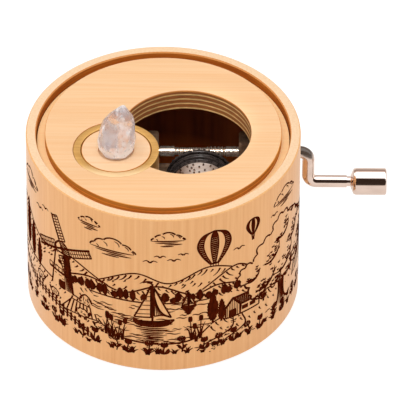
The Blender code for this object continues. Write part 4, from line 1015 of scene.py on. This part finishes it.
def drawScene():
    masks.append(arc(71.6, 30.9, 3.4, 3.4))       # the crank's hole
    # Meadow in front
    for u in np.arange(-109, 109, 3.4):
        tuft(u + between(-0.9, 0.9), between(5.3, 7.0), between(1.5, 3.0))
    for u in np.arange(-107, 108, 9.4):
        daisy(u + between(-1.5, 1.5), between(5.4, 6.6), between(3.0, 4.6))
        tulip(u + 4.3 + between(-1.2, 1.2), between(5.4, 6.4), between(2.4, 3.6))
    for _ in range(150):
        u, v = between(-109, 109), between(6.8, 10.5)
        draw([(u, v), (u + between(0.5, 1.6), v + between(-0.1, 0.1))], 0.2, 0.8)
    fence([(-58, 16.5), (-44, 12.6), (-31, 11.4), (-20, 7.6)])
    for u, v, size, side in ((-38, 15.2, 1.15, 1), (-31.5, 14.2, 1.05, -1), (-21.6, 12.6, 1.25, 1), (-16.4, 10.8, 1.0, -1)):
        sheep(u, v, size, side)
    # Path to the cottage
    for edge in ([(9, 6.2), (11.5, 8.2), (18.4, 11), (19, 14.6)], [(15.6, 6.1), (17, 8), (22.6, 10.6), (21.6, 14.6)]):
        draw(curve(edge), 0.32, 0.2)
    for _ in range(34):
        share = between(0, 1)
        u = 12.6 + 7.4 * share + between(-1.2, 1.2)
        draw([(u, 4.8 + 9.4 * share), (u + between(0.3, 0.9), 4.8 + 9.4 * share)], 0.22, 0.5)
    leafyTree(36.5, 8.6, 1.7)
    tuft(33, 8.4, 2.2)
    tuft(40.5, 8.2, 2.4)
    cottage(16.8, 14.6, 1.12)
    for u, height, width in ((13.2, 10.5, 2.1), (15.6, 7.5, 1.6), (29, 8.5, 1.9)):
        poplar(u, 14.4, height, width)
    # Lake with the boat
    for u in (-14.6, -13.6, -12.6, -11.3, -10.2, 7.6, 8.8, 9.9):
        reed(u, 9.8 + between(-0.6, 0.6), between(4.4, 7.4))
    shore = curve([(-17, 14.5), (-13.5, 11.2), (-7, 9.8), (1, 9.4), (8, 10.4), (12.5, 14)])
    draw(shore, 0.36, 0.2)
    boat(-2.4, 15.6, 1.12)
    boat(6.8, 21.2, 0.42)
    lake = np.vstack([shore, [(14, 18), (13, 23), (-18, 23), (-19, 17)]])
    waves(lake, 85)
    draw([(-19, 23), (14, 23)], 0.3, 0.2)
    masks.append(lake)
    # Hills beside the lake, with the windmill
    windmill(-28.5, 18.4, 1.28)
    haystack(-20.6, 17.6, 0.95)
    for u, v, height in ((-58, 19.5, 15), (-52.6, 19.8, 12), (-47, 19.6, 16), (-42.6, 19.4, 12), (-38.8, 19.2, 9)):
        poplar(u, v, height, 0.17 * height + 0.3)
    furrows([(-29, 12.4), (-16.5, 13.6), (-17.5, 16.8), (-25, 17.4)], (-21.5, 28), 17)
    hill([(-112, 15), (-86, 20), (-62, 18.6), (-44, 20), (-28.5, 19.2), (-20, 17.6), (-15.5, 13.6)], 1.0, -0.6)
    furrows([(43, 13), (58, 14.4), (55, 19.4), (45.5, 20)], (49, 32), 17)
    for u, height in ((50.6, 9), (54, 11.5), (57.4, 9), (82, 12), (86, 15), (90, 11)):
        poplar(u, 19, height, 0.22 * height + 0.5)
    hill([(11.5, 13.4), (15, 15.4), (24, 17), (36, 18.4), (50, 20.4), (70, 18.2), (92, 19.6), (112, 15)], 1.0, 0.6)
    # Coast at the back
    lighthouse(103, 20, 1.1)
    leafyTree(-86, 17, 1.1)
    haystack(-70, 18.5, 1.3)
    # Far shore and downs
    for u in np.arange(-24, 34, 1.9):
        poplar(u + between(-0.5, 0.5), 23.2 + between(-0.2, 0.3), between(1.8, 4.0), between(1.0, 1.7))
    hill([(-32, 22), (-20, 27.4), (-10, 25.6), (-1, 28.6), (8, 25.4), (15, 27), (24, 24.4)], 1.3, 0.8)
    hill([(8, 25), (19, 31.5), (27, 29), (40, 37), (52, 31), (68, 35), (88, 27), (100, 25)], 1.3, 0.9)
    hill([(-104, 24), (-84, 31), (-66, 27.5), (-50, 34), (-38, 29), (-26, 31), (-14, 26.6)], 1.3, -0.9)
    hill([(-18, 27), (-7, 32.4), (2, 29.6), (12, 33.6), (22, 30)], 1.1, -0.8, 0.28)
    # Sky
    balloon(13.6, 40.6, 4.5)
    balloon(25, 42.2, 2.1)
    for u, v, size in ((-13, 38.6, 1.15), (1.5, 43.8, 0.8), (-45, 43.0, 1.0), (38, 43.2, 1.0), (-19.5, 45, 0.6), (84, 41, 1.2),
                       (-80, 42, 1.2), (-103, 37, 1.0)):
        cloud(u, v, size)
    for u, v, size in ((-3, 36.4, 1.1), (-0.5, 38.2, 0.9), (3, 37, 1.0), (5.4, 38.8, 0.8), (20.6, 36.4, 1.0), (33, 40.2, 0.9),
                       (-38.5, 38.4, 1.1), (-35.5, 40.2, 0.9), (93, 43, 1.1), (98, 45, 0.9), (-66, 39, 1.0)):
        bird(u, v, size)


inkLook = {"radius": 34.985 * mm, "threads": 4, "seed": 3, "weight": 1.56, "shake": 0.05 * mm, "shakeScale": 900}


def makeRibbonTree():
    """Turns flat lines into inked ribbons of their own width, wrapped round the wall."""
    tree = bpy.data.node_groups.new("inkRibbons", "GeometryNodeTree")
    face = tree.interface
    for name, kind, way in (
            ("Geometry", "NodeSocketGeometry", "INPUT"), ("Radius", "NodeSocketFloat", "INPUT"),
            ("Shake", "NodeSocketFloat", "INPUT"), ("Seed", "NodeSocketInt", "INPUT"),
            ("Ink", "NodeSocketMaterial", "INPUT"), ("Geometry", "NodeSocketGeometry", "OUTPUT")):
        face.new_socket(name, in_out=way, socket_type=kind)
    given = put(tree, "NodeGroupInput").outputs
    lines = put(tree, "GeometryNodeMeshToCurve", {"Mesh": given["Geometry"]})
    place = put(tree, "GeometryNodeInputPosition").outputs[0]
    wander = put(tree, "ShaderNodeTexNoise", {
        "Vector": place, "W": given["Seed"], "Scale": inkLook["shakeScale"], "Detail": 1}, noise_dimensions="4D")
    aside = put(tree, "ShaderNodeVectorMath", {0: wander.outputs["Color"], 1: (0.5, 0.5, 0.5)}, operation="SUBTRACT")
    aside = put(tree, "ShaderNodeVectorMath", {0: aside.outputs[0], 1: (1, 1, 0)}, operation="MULTIPLY")
    aside = put(tree, "ShaderNodeVectorMath", {0: aside.outputs[0], "Scale": given["Shake"]}, operation="SCALE")
    lines = put(tree, "GeometryNodeSetPosition", {"Geometry": lines.outputs[0], "Offset": aside.outputs[0]})
    lines = put(tree, "GeometryNodeSetCurveNormal", {"Curve": lines.outputs[0]}, mode="Z_UP")
    across = put(tree, "GeometryNodeCurvePrimitiveLine", {"Start": (-0.5, 0, 0), "End": (0.5, 0, 0)})
    across = put(tree, "GeometryNodeResampleCurve", {"Curve": across.outputs[0], "Count": inkLook["threads"]})
    width = put(tree, "GeometryNodeInputNamedAttribute", {"Name": "width"}, data_type="FLOAT")
    ribbon = put(tree, "GeometryNodeCurveToMesh", {
        "Curve": lines.outputs[0], "Profile Curve": across.outputs[0], "Scale": width.outputs["Attribute"]})
    flat = put(tree, "ShaderNodeSeparateXYZ", {"Vector": put(tree, "GeometryNodeInputPosition").outputs[0]})
    turn = maths(tree, "DIVIDE", flat.outputs["X"], given["Radius"])
    east = maths(tree, "MULTIPLY", maths(tree, "SINE", turn, 0), given["Radius"])
    south = maths(tree, "MULTIPLY", maths(tree, "COSINE", turn, 0), maths(tree, "MULTIPLY", given["Radius"], -1))
    wrapped = put(tree, "ShaderNodeCombineXYZ", {"X": east, "Y": south, "Z": flat.outputs["Y"]})
    ribbon = put(tree, "GeometryNodeSetPosition", {"Geometry": ribbon.outputs[0], "Position": wrapped.outputs[0]})
    inked = put(tree, "GeometryNodeSetMaterial", {"Geometry": ribbon.outputs[0], "Material": given["Ink"]})
    put(tree, "NodeGroupOutput", {"Geometry": inked.outputs[0]})
    return tree


def runTree(name, mesh, tree, values):
    """The mesh that the tree makes of another mesh."""
    carrier = bpy.data.objects.new(name, mesh)
    bpy.context.scene.collection.objects.link(carrier)
    modifier = carrier.modifiers.new(name, "NODES")
    modifier.node_group = tree
    for item in tree.interface.items_tree:
        if item.in_out == "INPUT" and item.name in values:
            modifier[item.identifier] = values[item.name]
    result = bpy.data.meshes.new_from_object(carrier.evaluated_get(bpy.context.evaluated_depsgraph_get()))
    result.name = name
    bpy.data.objects.remove(carrier, do_unlink=True)
    return result


def makeWallDrawing():
    drawScene()
    points, edges, widths = [], [], []
    for line, breadth in strokes:
        first = len(points)
        points += [(u * mm, v * mm, 0) for u, v in line]
        edges += [(first + k, first + k + 1) for k in range(len(line) - 1)]
        widths += [w * inkLook["weight"] * mm for w in breadth]
    flat = bpy.data.meshes.new("flatLines")
    flat.from_pydata(points, edges, [])
    flat.attributes.new("width", "FLOAT", "POINT").data.foreach_set("value", widths)
    mesh = runTree("wallDrawing", flat, makeRibbonTree(), {
        "Radius": inkLook["radius"], "Shake": inkLook["shake"], "Seed": inkLook["seed"], "Ink": ink})
    face = mesh.polygons[0]
    if face.normal.x * face.center.x + face.normal.y * face.center.y < 0:
        mesh.flip_normals()
    print("drawing:", len(strokes), "lines,", len(mesh.polygons), "faces")
    return newPiece("wallDrawing", mesh, "case", "bamboo")


makeWallDrawing()

# Crank
crankLook = {
    "y": 16 * mm, "z": 30.9 * mm, "handleZ": 21.18 * mm, "radius": 1.35 * mm, "armX": 37.35 * mm, "bend": 2.3 * mm,
    "wire": 1.6 * mm, "wireX": 29.13 * mm, "endX": 47.4 * mm, "neck": 0.8 * mm, "collar": 1.32 * mm, "collarEnd": 48.35 * mm, "headX": 49.7 * mm, "headEnd": 53.1 * mm, "headRadius": 1.22 * mm,
    "sides": 40, "bendSteps": 18,
}
wormLook = {
    "middleX": 9.4 * mm, "length": 13.3 * mm, "root": 0.96 * mm, "pitch": 0.9414769 * mm, "starts": 2,
    "relief": 1.02 * mm, "rampStart": 1.1 * mm, "rampLength": 1.2 * mm, "crest": 0.11, "flank": 0.25,
    "ridgeX": 9.0693 * mm, "stepsPerTurn": 24, "stub": 0.4 * mm,
}
journalLook = {"shoulderX": -0.95 * mm, "radius": 1.0 * mm, "grooveEnd": -4.45 * mm, "groove": 0.7 * mm, "grooveStart": -5.15 * mm, "tail": -5.95 * mm}


def sweep(name, route, radius, sides):
    """A round rod along a flat route in the plane y = crank y, with its ends closed."""
    build = bmesh.new()
    rows = []
    for index, (x, z) in enumerate(route):
        before = Vector(route[max(index - 1, 0)])
        after = Vector(route[min(index + 1, len(route) - 1)])
        along = (after - before).normalized()
        side = Vector((-along.y, along.x))
        rows.append([build.verts.new((
            x + radius * math.cos(2 * math.pi * k / sides) * side.x, crankLook["y"] + radius * math.sin(2 * math.pi * k / sides),
            z + radius * math.cos(2 * math.pi * k / sides) * side.y)) for k in range(sides)])
    for first, second in zip(rows, rows[1:]):
        for k in range(sides):
            n = (k + 1) % sides
            build.faces.new((first[k], second[k], second[n], first[n]))
    build.faces.new(rows[0])
    build.faces.new(rows[-1])
    bmesh.ops.recalc_face_normals(build, faces=build.faces)
    mesh = bpy.data.meshes.new(name)
    build.to_mesh(mesh)
    build.free()
    mesh.materials.append(wireNickel)
    return mesh


def makeCrankRod():
    look = crankLook
    wormEnd = wormLook["middleX"] + wormLook["length"] / 2
    route = [(look["wireX"], look["z"]), (look["wireX"] + 0.2 * mm, look["z"])]
    for middleX, middleZ, start, end in (
            (look["armX"] - look["bend"], look["z"] - look["bend"], math.pi / 2, 0),
            (look["armX"] + look["bend"], look["handleZ"] + look["bend"], math.pi, 3 * math.pi / 2)):
        for step in range(look["bendSteps"] + 1):
            angle = start + (end - start) * step / look["bendSteps"]
            route.append((middleX + look["bend"] * math.cos(angle), middleZ + look["bend"] * math.sin(angle)))
    route += [(look["endX"] - 0.1 * mm, look["handleZ"]), (look["endX"], look["handleZ"])]
    rod = smooth(sweep("crankWire", route, look["wire"], look["sides"]))
    piece = newPiece("crankWire", rod, "crank", "nickel", "crank_rod")
    profile = [
        (0, look["wireX"] + 0.5 * mm, 0), (look["radius"], look["wireX"] + 0.5 * mm, 0),
        (look["radius"], wormEnd, 0), (0, wormEnd, 0)]
    shaft = lathe("wormShaft", profile, 48, [shaftNickel], axis="X", place=(0, look["y"], look["z"]))
    newPiece("wormShaft", smooth(shaft), "crank", "nickel")
    profile = [
        (0, look["endX"] - 0.5 * mm, 0), (look["collar"], look["endX"] - 0.5 * mm, 0),
        (look["collar"], look["collarEnd"], 0), (look["neck"], look["collarEnd"], 0), (look["neck"], look["headX"], 0),
        (look["headRadius"], look["headX"], 0), (look["headRadius"], look["headEnd"], 0), (0, look["headEnd"], 0)]
    neck = lathe("knobPin", profile, 32, [nickel], axis="X", place=(0, look["y"], look["handleZ"]))
    newPiece("knobPin", smooth(neck), "crank", "nickel")
    look = journalLook
    start = wormLook["middleX"] - wormLook["length"] / 2
    profile = [
        (0, start, 0), (crankLook["radius"], start, 0), (crankLook["radius"], look["shoulderX"], 0),
        (look["radius"], look["shoulderX"], 0), (look["radius"], look["grooveEnd"], 0),
        (look["groove"], look["grooveEnd"], 0), (look["groove"], look["grooveStart"], 0),
        (look["radius"], look["grooveStart"], 0), (look["radius"], look["tail"], 0), (0, look["tail"], 0)]
    journal = lathe("rodJournal", profile, 40, [shaftNickel], axis="X", place=(0, crankLook["y"], crankLook["z"]))
    newPiece("rodJournal", smooth(journal), "crank", "nickel")
    return piece


def makeWorm():
    look = wormLook
    startX = look["middleX"] - look["length"] / 2
    endX = look["middleX"] + look["length"] / 2
    lead = look["pitch"] * look["starts"]
    offsets = (-look["flank"], -(look["flank"] + look["crest"]) / 2, -look["crest"], 0, look["crest"],
               (look["flank"] + look["crest"]) / 2, look["flank"], 0.375, 0.5, 0.625)
    tops = (0, 0.55, 0.97, 1, 0.97, 0.55, 0, 0, 0, 0)
    full = crankLook["radius"] - look["root"]
    low = look["relief"] - look["root"]
    count = math.ceil(look["length"] / (lead / look["stepsPerTurn"]))
    places = [startX - look["stub"]] + [startX + look["length"] * k / count for k in range(count + 1)] + [endX + look["stub"]]
    build = bmesh.new()
    rows = []
    for x in places:
        side = min(max((x - look["middleX"] - look["rampStart"]) / look["rampLength"], 0), 1)
        runOut = max(min((x - startX) / look["stub"], (endX - x) / look["stub"], 1), 0)
        height = runOut * (low + (full - low) * side)
        twist = math.pi + 2 * math.pi * (x - look["ridgeX"]) / lead
        row = []
        for start in range(look["starts"]):
            for offset, top in zip(offsets, tops):
                angle = twist + 2 * math.pi * (start + offset) / look["starts"]
                radius = look["root"] + top * height
                row.append(build.verts.new((
                    x, crankLook["y"] + radius * math.cos(angle), crankLook["z"] + radius * math.sin(angle))))
        rows.append(row)
    for first, second in zip(rows, rows[1:]):
        for k in range(len(first)):
            n = (k + 1) % len(first)
            build.faces.new((first[k], first[n], second[n], second[k]))
    build.faces.new(rows[0])
    build.faces.new(rows[-1])
    bmesh.ops.recalc_face_normals(build, faces=build.faces)
    mesh = bpy.data.meshes.new("wormThread")
    build.to_mesh(mesh)
    build.free()
    mesh.materials.append(threadNickel)
    return newPiece("wormThread", smooth(mesh, 40), "crank", "nickel")


knobLook = {"inner": 48.4 * mm, "length": 9.3 * mm, "radius": 3.5 * mm, "cone": 1.4 * mm, "shoulder": 3.26 * mm, "shoulderX": 0.74 * mm, "throat": 1.5 * mm, "neckHole": 0.95 * mm, "edge": 0.65 * mm}


def makeKnob():
    look = knobLook
    profile = eased([
        (0, look["length"], 0, 0),
        (look["radius"], look["length"], 0, look["edge"]),
        (look["radius"], look["cone"], 0, 0.15 * mm),
        (look["shoulder"], look["shoulderX"], 0, 0.2 * mm),
        (look["throat"], 0, 0, 0.12 * mm),
        (look["neckHole"], 0, 0, 0),
        (look["neckHole"], 1.2 * mm, 0, 0),
        (0, 1.2 * mm, 0, 0)], steps=5)
    place = (look["inner"], crankLook["y"], crankLook["handleZ"])
    mesh = lathe("crankKnob", profile, 96, [nickel], axis="X", place=place)
    return newPiece("crankKnob", smooth(mesh, 25), "knob", "nickel", "crank_knob")


makeCrankRod()
makeWorm()
makeKnob()
print("crank and knob made")

# Pinned cylinder
drumLook = {
    "x": 9.4 * mm, "z": 24.1 * mm, "radius": 7.3 * mm, "front": -9.24 * mm, "rear": 10.96 * mm, "bore": 4.2 * mm,
    "edge": 0.15 * mm, "tracks": 18, "perTrack": 24, "trackPitch": 1.05 * mm, "pinRadius": 0.25 * mm,
    "pinLength": 0.95 * mm, "pinRise": 0.48 * mm, "pinSides": 7, "seed": 5,
}


def makePinTree():
    """Sets one pin on each point, turned as the point's own turn says."""
    tree = bpy.data.node_groups.new("drumPins", "GeometryNodeTree")
    face = tree.interface
    for name, kind, way in (
            ("Geometry", "NodeSocketGeometry", "INPUT"), ("Pin Radius", "NodeSocketFloat", "INPUT"),
            ("Pin Length", "NodeSocketFloat", "INPUT"), ("Sides", "NodeSocketInt", "INPUT"),
            ("Metal", "NodeSocketMaterial", "INPUT"), ("Geometry", "NodeSocketGeometry", "OUTPUT")):
        face.new_socket(name, in_out=way, socket_type=kind)
    given = put(tree, "NodeGroupInput").outputs
    pin = put(tree, "GeometryNodeMeshCylinder", {
        "Vertices": given["Sides"], "Radius": given["Pin Radius"], "Depth": given["Pin Length"]})
    turn = put(tree, "GeometryNodeInputNamedAttribute", {"Name": "turn"}, data_type="FLOAT_VECTOR")
    turn = put(tree, "FunctionNodeEulerToRotation", {"Euler": turn.outputs["Attribute"]})
    pins = put(tree, "GeometryNodeInstanceOnPoints", {
        "Points": given["Geometry"], "Instance": pin.outputs["Mesh"], "Rotation": turn.outputs[0]})
    real = put(tree, "GeometryNodeRealizeInstances", {"Geometry": pins.outputs[0]})
    shaded = put(tree, "GeometryNodeSetMaterial", {"Geometry": real.outputs[0], "Material": given["Metal"]})
    put(tree, "NodeGroupOutput", {"Geometry": shaded.outputs[0]})
    return tree


def makeDrum():
    look = drumLook
    profile = eased([
        (look["bore"], look["front"], 0, 0),
        (look["radius"], look["front"], 0, look["edge"]),
        (look["radius"], look["rear"], 0, look["edge"]),
        (look["bore"], look["rear"], 0, 0)])
    mesh = lathe("pinnedDrum", profile, 160, [drumMetal], closed=True, axis="Y", place=(look["x"], 0, look["z"]))
    newPiece("pinnedDrum", smooth(mesh), "cylinder", "steel", "music_cylinder")
    chance = np.random.default_rng(look["seed"])
    middle = (look["front"] + look["rear"]) / 2
    depth = look["radius"] + look["pinRise"] - look["pinLength"] / 2
    spots, turns = [], []
    for track in range(look["tracks"]):
        y = middle + (track - (look["tracks"] - 1) / 2) * look["trackPitch"]
        step = 2 * math.pi / look["perTrack"]
        for number in range(look["perTrack"]):
            angle = step * (number + chance.uniform(-0.3, 0.3) + 0.37 * track)
            if chance.uniform() < 0.8:
                spots.append((look["x"] + depth * math.sin(angle), y, look["z"] + depth * math.cos(angle)))
                turns.append((0, angle, 0))
    points = bpy.data.meshes.new("pinPoints")
    points.from_pydata(spots, [], [])
    points.attributes.new("turn", "FLOAT_VECTOR", "POINT").data.foreach_set("vector", np.array(turns).ravel())
    pins = runTree("drumPins", points, makePinTree(), {
        "Pin Radius": look["pinRadius"], "Pin Length": look["pinLength"], "Sides": look["pinSides"], "Metal": pinSteel})
    newPiece("drumPins", smooth(pins), "cylinder", "steel")
    print("drum:", len(spots), "pins")


makeDrum()

# Wheel ridges: thin rounded beads on the drive wheel's steps
ridgeLook = {
    "x": 9.4 * mm, "z": 24.1 * mm, "sides": 120, "steps": 10,
    "beads": ((13.6 * mm, 8.7 * mm, 0.24 * mm), (12.95 * mm, 8.08 * mm, 0.16 * mm), (12.3 * mm, 8.05 * mm, 0.2 * mm),
              (11.5 * mm, 7.68 * mm, 0.16 * mm)),
}


def makeRidges():
    look = ridgeLook
    for number, (y, radius, size) in enumerate(look["beads"], 1):
        profile = [(radius + size * math.cos(2 * math.pi * k / look["steps"]), y + size * math.sin(2 * math.pi * k / look["steps"]), 0)
                   for k in range(look["steps"])]
        bead = lathe(f"wheelBead{number}", profile, look["sides"], [nylon], closed=True, axis="Y", place=(look["x"], 0, look["z"]))
        newPiece(f"wheelBead{number}", smooth(bead, 60), "cylinder", "black_plastic")


# Frame: the CAD frame's own faces, with the posts as tall and as near as in the photo
postLook = {
    "high": 34.3 * mm, "rise": 1.2 * mm, "near": 20.0 * mm, "far": 20.75 * mm, "shift": -0.7 * mm,
    "front": 12.4 * mm, "above": 11 * mm,
}


def makeCasting():
    look = postLook
    mesh = cadNodes["movement_frame"].data.copy()
    mesh.name = "frameCasting"
    for vertex in mesh.vertices:
        x, y, z = vertex.co
        if z > look["high"]:
            vertex.co.z += look["rise"]
        if look["near"] < x < look["far"] and y > look["front"] and z > look["above"]:
            vertex.co.x += look["shift"]
    mesh.materials.clear()
    mesh.materials.append(castZinc)
    newPiece("frameCasting", mesh, "case", "cast_zinc", "movement_frame")


makeRidges()
makeCasting()

# The other pieces of the movement keep their CAD shapes and take finishes of their own
cadFinishes = {
    "front_bracket": steel, "bracket_screw_1": steel, "bracket_screw_2": steel,
    "comb_base": brassPlain, "comb": combSteel, "comb_screw_1": steel, "comb_screw_2": steel, "comb_screw_3": steel,
    "cylinder_cap": brassPlain, "cylinder_arbor": steel, "drive_wheel": nylon,
    "retaining_clip": steel, "base_plate": baseWood, "mount_screw_1": steel, "mount_screw_2": steel, "mount_screw_3": steel,
}
for name, finish in cadFinishes.items():
    for slot in cadNodes[name].material_slots:
        slot.material = finish
print("movement finished")

# Stage
cameraLook = {
    "elevation": 40.0, "distance": 1.6, "lens": 560.9, "sensor": 36, "roll": 0.39,
    "aim": (0, 0, 25 * mm), "right": 9.463 * mm, "up": 2.182 * mm,
}


def makeCamera():
    look = cameraLook
    rise, roll = math.radians(look["elevation"]), math.radians(look["roll"])
    back = Vector((0, -math.cos(rise), math.sin(rise)))
    right, up = Vector((1, 0, 0)), Vector((0, math.sin(rise), math.cos(rise)))
    rolledRight = right * math.cos(roll) + up * math.sin(roll)
    rolledUp = up * math.cos(roll) - right * math.sin(roll)
    data = bpy.data.cameras.new("camera")
    data.lens = look["lens"]
    data.sensor_width = look["sensor"]
    data.clip_start, data.clip_end = 0.1, 20
    camera = bpy.data.objects.new("camera", data)
    bpy.context.scene.collection.objects.link(camera)
    place = Vector(look["aim"]) + rolledRight * look["right"] + rolledUp * look["up"] + back * look["distance"]
    turn = Matrix((rolledRight, rolledUp, back)).transposed()
    camera.matrix_world = Matrix.Translation(place) @ turn.to_4x4()
    bpy.context.scene.camera = camera


lightLook = {
    "worldStrength": 0.57, "sideGain": 1.2, "mirrorStrength": 2.0, "worldColour": (1.0, 0.98, 0.96, 1),
    "overhead": {"place": (-0.12, -0.2, 0.92), "size": 0.7, "power": 3.2, "colour": (1, 0.98, 0.95)},
    "window": {"place": (9.4 * mm, -0.2426, 0.575), "aim": (9.4 * mm, 11 * mm, 31 * mm), "angle": 2.5, "power": 12.0, "soft": 0.006},
    "floorInMetal": rgb(224, 210, 201), "floorSize": 3.0, "floorShade": 0.35, "floorAlbedo": 0.86,
}


def makeWorld():
    world = bpy.data.worlds.new("studio")
    bpy.context.scene.world = world
    world.use_nodes = True
    tree = world.node_tree
    tree.nodes.clear()
    path = put(tree, "ShaderNodeLightPath")
    seen = maths(tree, "MAXIMUM", path.outputs["Is Camera Ray"], path.outputs["Is Transmission Ray"])
    direction = put(tree, "ShaderNodeTexCoord").outputs["Generated"]
    parts = put(tree, "ShaderNodeSeparateXYZ", {"Vector": direction}).outputs
    sides = maths(tree, "MULTIPLY", maths(tree, "MULTIPLY", parts["X"], parts["X"]), lightLook["sideGain"])
    level = maths(tree, "MULTIPLY", maths(tree, "ADD", sides, 1), lightLook["worldStrength"])
    soft = put(tree, "ShaderNodeBackground", {"Color": lightLook["worldColour"], "Strength": level})
    white = put(tree, "ShaderNodeBackground", {"Color": grey(1), "Strength": 1.0})
    # Metal sees, from the front's skyline over the top to the back's: floor glow, the unlit studio, a bright
    # softbox and a grey wall
    arch = maths(tree, "ARCTAN2", parts["Z"], maths(tree, "MULTIPLY", parts["Y"], -1))
    arch = maths(tree, "DIVIDE", arch, math.pi)
    shine = ramp(tree, arch, (0.0, rgb(192, 180, 172)), (0.05, rgb(40, 30, 24)), (0.35, rgb(34, 24, 19)), (0.4, grey(1)),
                 (0.69, grey(1)), (0.74, (0.34, 0.26, 0.23, 1)), (0.86, (0.17, 0.125, 0.105, 1)), (0.99, (0.44, 0.38, 0.34, 1)))
    mirror = put(tree, "ShaderNodeBackground", {"Color": shine, "Strength": lightLook["mirrorStrength"]})
    first = put(tree, "ShaderNodeMixShader", {0: path.outputs["Is Glossy Ray"], 1: soft.outputs[0], 2: mirror.outputs[0]})
    second = put(tree, "ShaderNodeMixShader", {0: seen, 1: first.outputs[0], 2: white.outputs[0]})
    put(tree, "ShaderNodeOutputWorld", {"Surface": second.outputs[0]})


def makeLights():
    look = lightLook["overhead"]
    data = bpy.data.lights.new("softbox", "AREA")
    data.shape = "SQUARE"
    data.size = look["size"]
    data.energy = look["power"]
    data.color = look["colour"]
    lamp = bpy.data.objects.new("softbox", data)
    bpy.context.scene.collection.objects.link(lamp)
    lamp.location = look["place"]
    lamp.rotation_mode = "QUATERNION"
    lamp.rotation_quaternion = (-Vector(look["place"])).to_track_quat("-Z", "Y")
    lamp.visible_glossy = False
    # A narrow light through the round window
    look = lightLook["window"]
    data = bpy.data.lights.new("windowSpot", "SPOT")
    data.energy = look["power"]
    data.spot_size = math.radians(look["angle"])
    data.spot_blend = 0.7
    data.shadow_soft_size = look["soft"]
    spot = bpy.data.objects.new("windowSpot", data)
    bpy.context.scene.collection.objects.link(spot)
    spot.location = look["place"]
    spot.rotation_mode = "QUATERNION"
    spot.rotation_quaternion = (Vector(look["aim"]) - Vector(look["place"])).to_track_quat("-Z", "Y")


def makeFloor():
    build = bmesh.new()
    bmesh.ops.create_grid(build, x_segments=1, y_segments=1, size=lightLook["floorSize"] / 2)
    mesh = bpy.data.meshes.new("paleFloor")
    build.to_mesh(mesh)
    build.free()
    material = bpy.data.materials.new("paleFloor")
    material.use_nodes = True
    tree = material.node_tree
    shader = tree.nodes["Principled BSDF"]
    shader.inputs["Base Color"].default_value = grey(lightLook["floorAlbedo"])
    shader.inputs["Roughness"].default_value = 0.9
    shader.inputs["Specular IOR Level"].default_value = 0
    path = put(tree, "ShaderNodeLightPath")
    seen = maths(tree, "MAXIMUM", path.outputs["Is Camera Ray"], path.outputs["Is Glossy Ray"])
    seen = maths(tree, "MAXIMUM", seen, path.outputs["Is Transmission Ray"])
    shade = blendColours(tree, path.outputs["Is Glossy Ray"], grey(1), lightLook["floorInMetal"])
    glow = put(tree, "ShaderNodeEmission", {"Color": shade, "Strength": 1.3})
    share = maths(tree, "MULTIPLY", seen, 1 - lightLook["floorShade"])
    mix = put(tree, "ShaderNodeMixShader", {0: share, 1: shader.outputs[0], 2: glow.outputs[0]})
    tree.links.new(mix.outputs[0], tree.nodes["Material Output"].inputs["Surface"])
    mesh.materials.append(material)
    floor = bpy.data.objects.new("paleFloor", mesh)
    bpy.context.scene.collection.objects.link(floor)
    floor.location = (0, 0, -0.02 * mm)


makeCamera()
makeWorld()
makeLights()
makeFloor()
bpy.context.scene.view_settings.view_transform = "Standard"
print("stage made")
